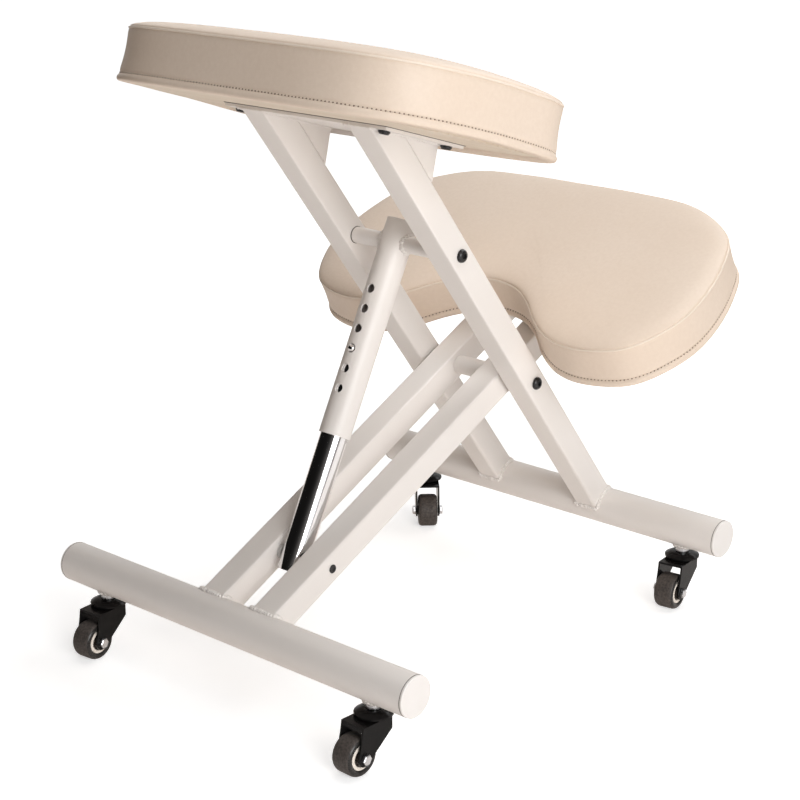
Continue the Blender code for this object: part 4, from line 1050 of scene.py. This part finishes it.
# socket-head bolts: rounded heads on the pivots, flat ones on the strut pin at the knee legs' outer faces
socketLook = {"steps": 36, "mouth": 1.06, "mouthDeep": 0.0002}
boltLook = {
    "shank": 0.004, "socket": 0.0029, "deep": 0.0022, "base": 0.0840,
    "dome": [(0.0064, 0.0), (0.00675, 0.0003), (0.00672, 0.0010), (0.0064, 0.0020), (0.0057, 0.0030),
             (0.0047, 0.0037), (0.0037, 0.0041)],
}
boltPlan = {
    "pivot_bolt_": {"centre": (-0.09509, 0.256279), "end": 0.0078},
    "strut_top_bolt_": {"centre": strutTop, "end": 0.042},
}
pinLook = {
    "shank": 0.0026, "socket": 0.0024, "deep": 0.0008, "base": 0.0495,
    "dome": [(0.0041, 0.0), (0.0044, 0.0002), (0.0044, 0.0006), (0.0041, 0.0009), (0.0031, 0.0009)],
}
pinPlan = {"centre": (0.174679, 0.125035), "end": 0.0485}
sides = (("left", 1), ("right", -1))


# head outwards along the axis, shank inwards to the plan's end
def socketBolt(name, look, plan, sign):
    bm = bmesh.new()
    circle = unitCircle(socketLook["steps"])
    hexagon = []
    for c, s in circle:
        turn = math.atan2(s, c) % (math.pi / 3) - math.pi / 6
        reach = math.cos(math.pi / 6) / math.cos(turn)
        hexagon.append((c * reach, s * reach))
    socket, top = look["socket"], look["dome"][-1][1]
    levels = [(look["shank"], plan["end"] - look["base"], circle), (look["shank"], 0.0, circle)]
    levels += [(r, h, circle) for r, h in look["dome"]]
    levels += [(socket * socketLook["mouth"], top, hexagon), (socket, top - socketLook["mouthDeep"], hexagon),
               (socket, top - look["deep"], hexagon)]
    capped(bm, [[bm.verts.new((x, c * r, s * r)) for c, s in shape] for r, x, shape in levels])
    bolt = newPiece(name, smoothMesh(bm, name), finishes["blackOxide"])
    hold = Matrix.Translation((sign * look["base"], *plan["centre"]))
    bolt.data.transform(hold @ Matrix.Rotation(0.0 if sign > 0 else math.pi, 4, "Z"))
    return bolt


for start, plan in boltPlan.items():
    for side, sign in sides:
        bolt = socketBolt("socketHead_" + start + side, boltLook, plan, sign)
        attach(bolt, "seat_frame")
        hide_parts(start + side)
for side, sign in sides:
    head = socketBolt("pinHead_" + side, pinLook, pinPlan, sign)
    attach(head, "knee_frame")

# thin dark rings of painted shade in the gaps where two pieces meet: caps on the foot tubes, and the cross
# tube's ends at the legs
seamSteps, seamSides = 60, 6
capSeam = {"x": 0.2305, "z": jointPlan["footHeight"], "radius": 0.01985, "thick": 0.0003}
seamPlan = {
    "rearCapSeam": {**capSeam, "y": jointPlan["rearY"], "body": "knee_frame"},
    "frontCapSeam": {**capSeam, "y": jointPlan["frontY"], "body": "seat_frame"},
    "crossTubeSeam": {
        "x": 0.0532, "y": strutTop[0], "z": strutTop[1], "radius": 0.0083, "thick": 0.0005,
        "body": "strut_outer",
    },
}
for start, plan in seamPlan.items():
    for side, sign in sides:
        name = start + "_" + side
        middle = Vector((sign * plan["x"], plan["y"], plan["z"]))
        outs = [Vector((0.0, c, s)) for c, s in unitCircle(seamSteps)]
        ring = [(middle + out * plan["radius"], out) for out in outs]
        line = newPiece(name, ropeMesh(name, ring, plan["thick"], seamSides), finishes["jointShadow"])
        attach(line, plan["body"])

# a dark sheet of painted shadow in the gap between the seat plate and the board, and the plate's folded lip
# between the legs
plateEdge = {"offset": 0.0003, "segments": 2}
platePlan = {
    "plateLiner": {
        "low": (-0.1043, -0.0873, 0.0027), "high": (0.1043, 0.0273, 0.0036), "finish": "jointShadow",
    },
    "plateLip": {
        "low": (-0.0685, -0.0870, -0.0046), "high": (0.0685, -0.0842, -0.0002), "finish": "whitePaint",
    },
}
for name, plan in platePlan.items():
    bm = bmesh.new()
    bmesh.ops.create_cube(bm, size=1.0)
    spans = list(zip(plan["low"], plan["high"]))
    for v in bm.verts:
        v.co = Vector([(low + high) / 2 + c * (high - low) for c, (low, high) in zip(v.co, spans)])
    bmesh.ops.bevel(bm, geom=bm.edges[:], affect="EDGES", profile=0.5, **plateEdge)
    bm.transform(mounts["seat"])
    strip = newPiece(name, meshOf(bm, name), finishes[plan["finish"]])
    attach(strip, "seat_frame")
print("bolts, seams and plate details made")
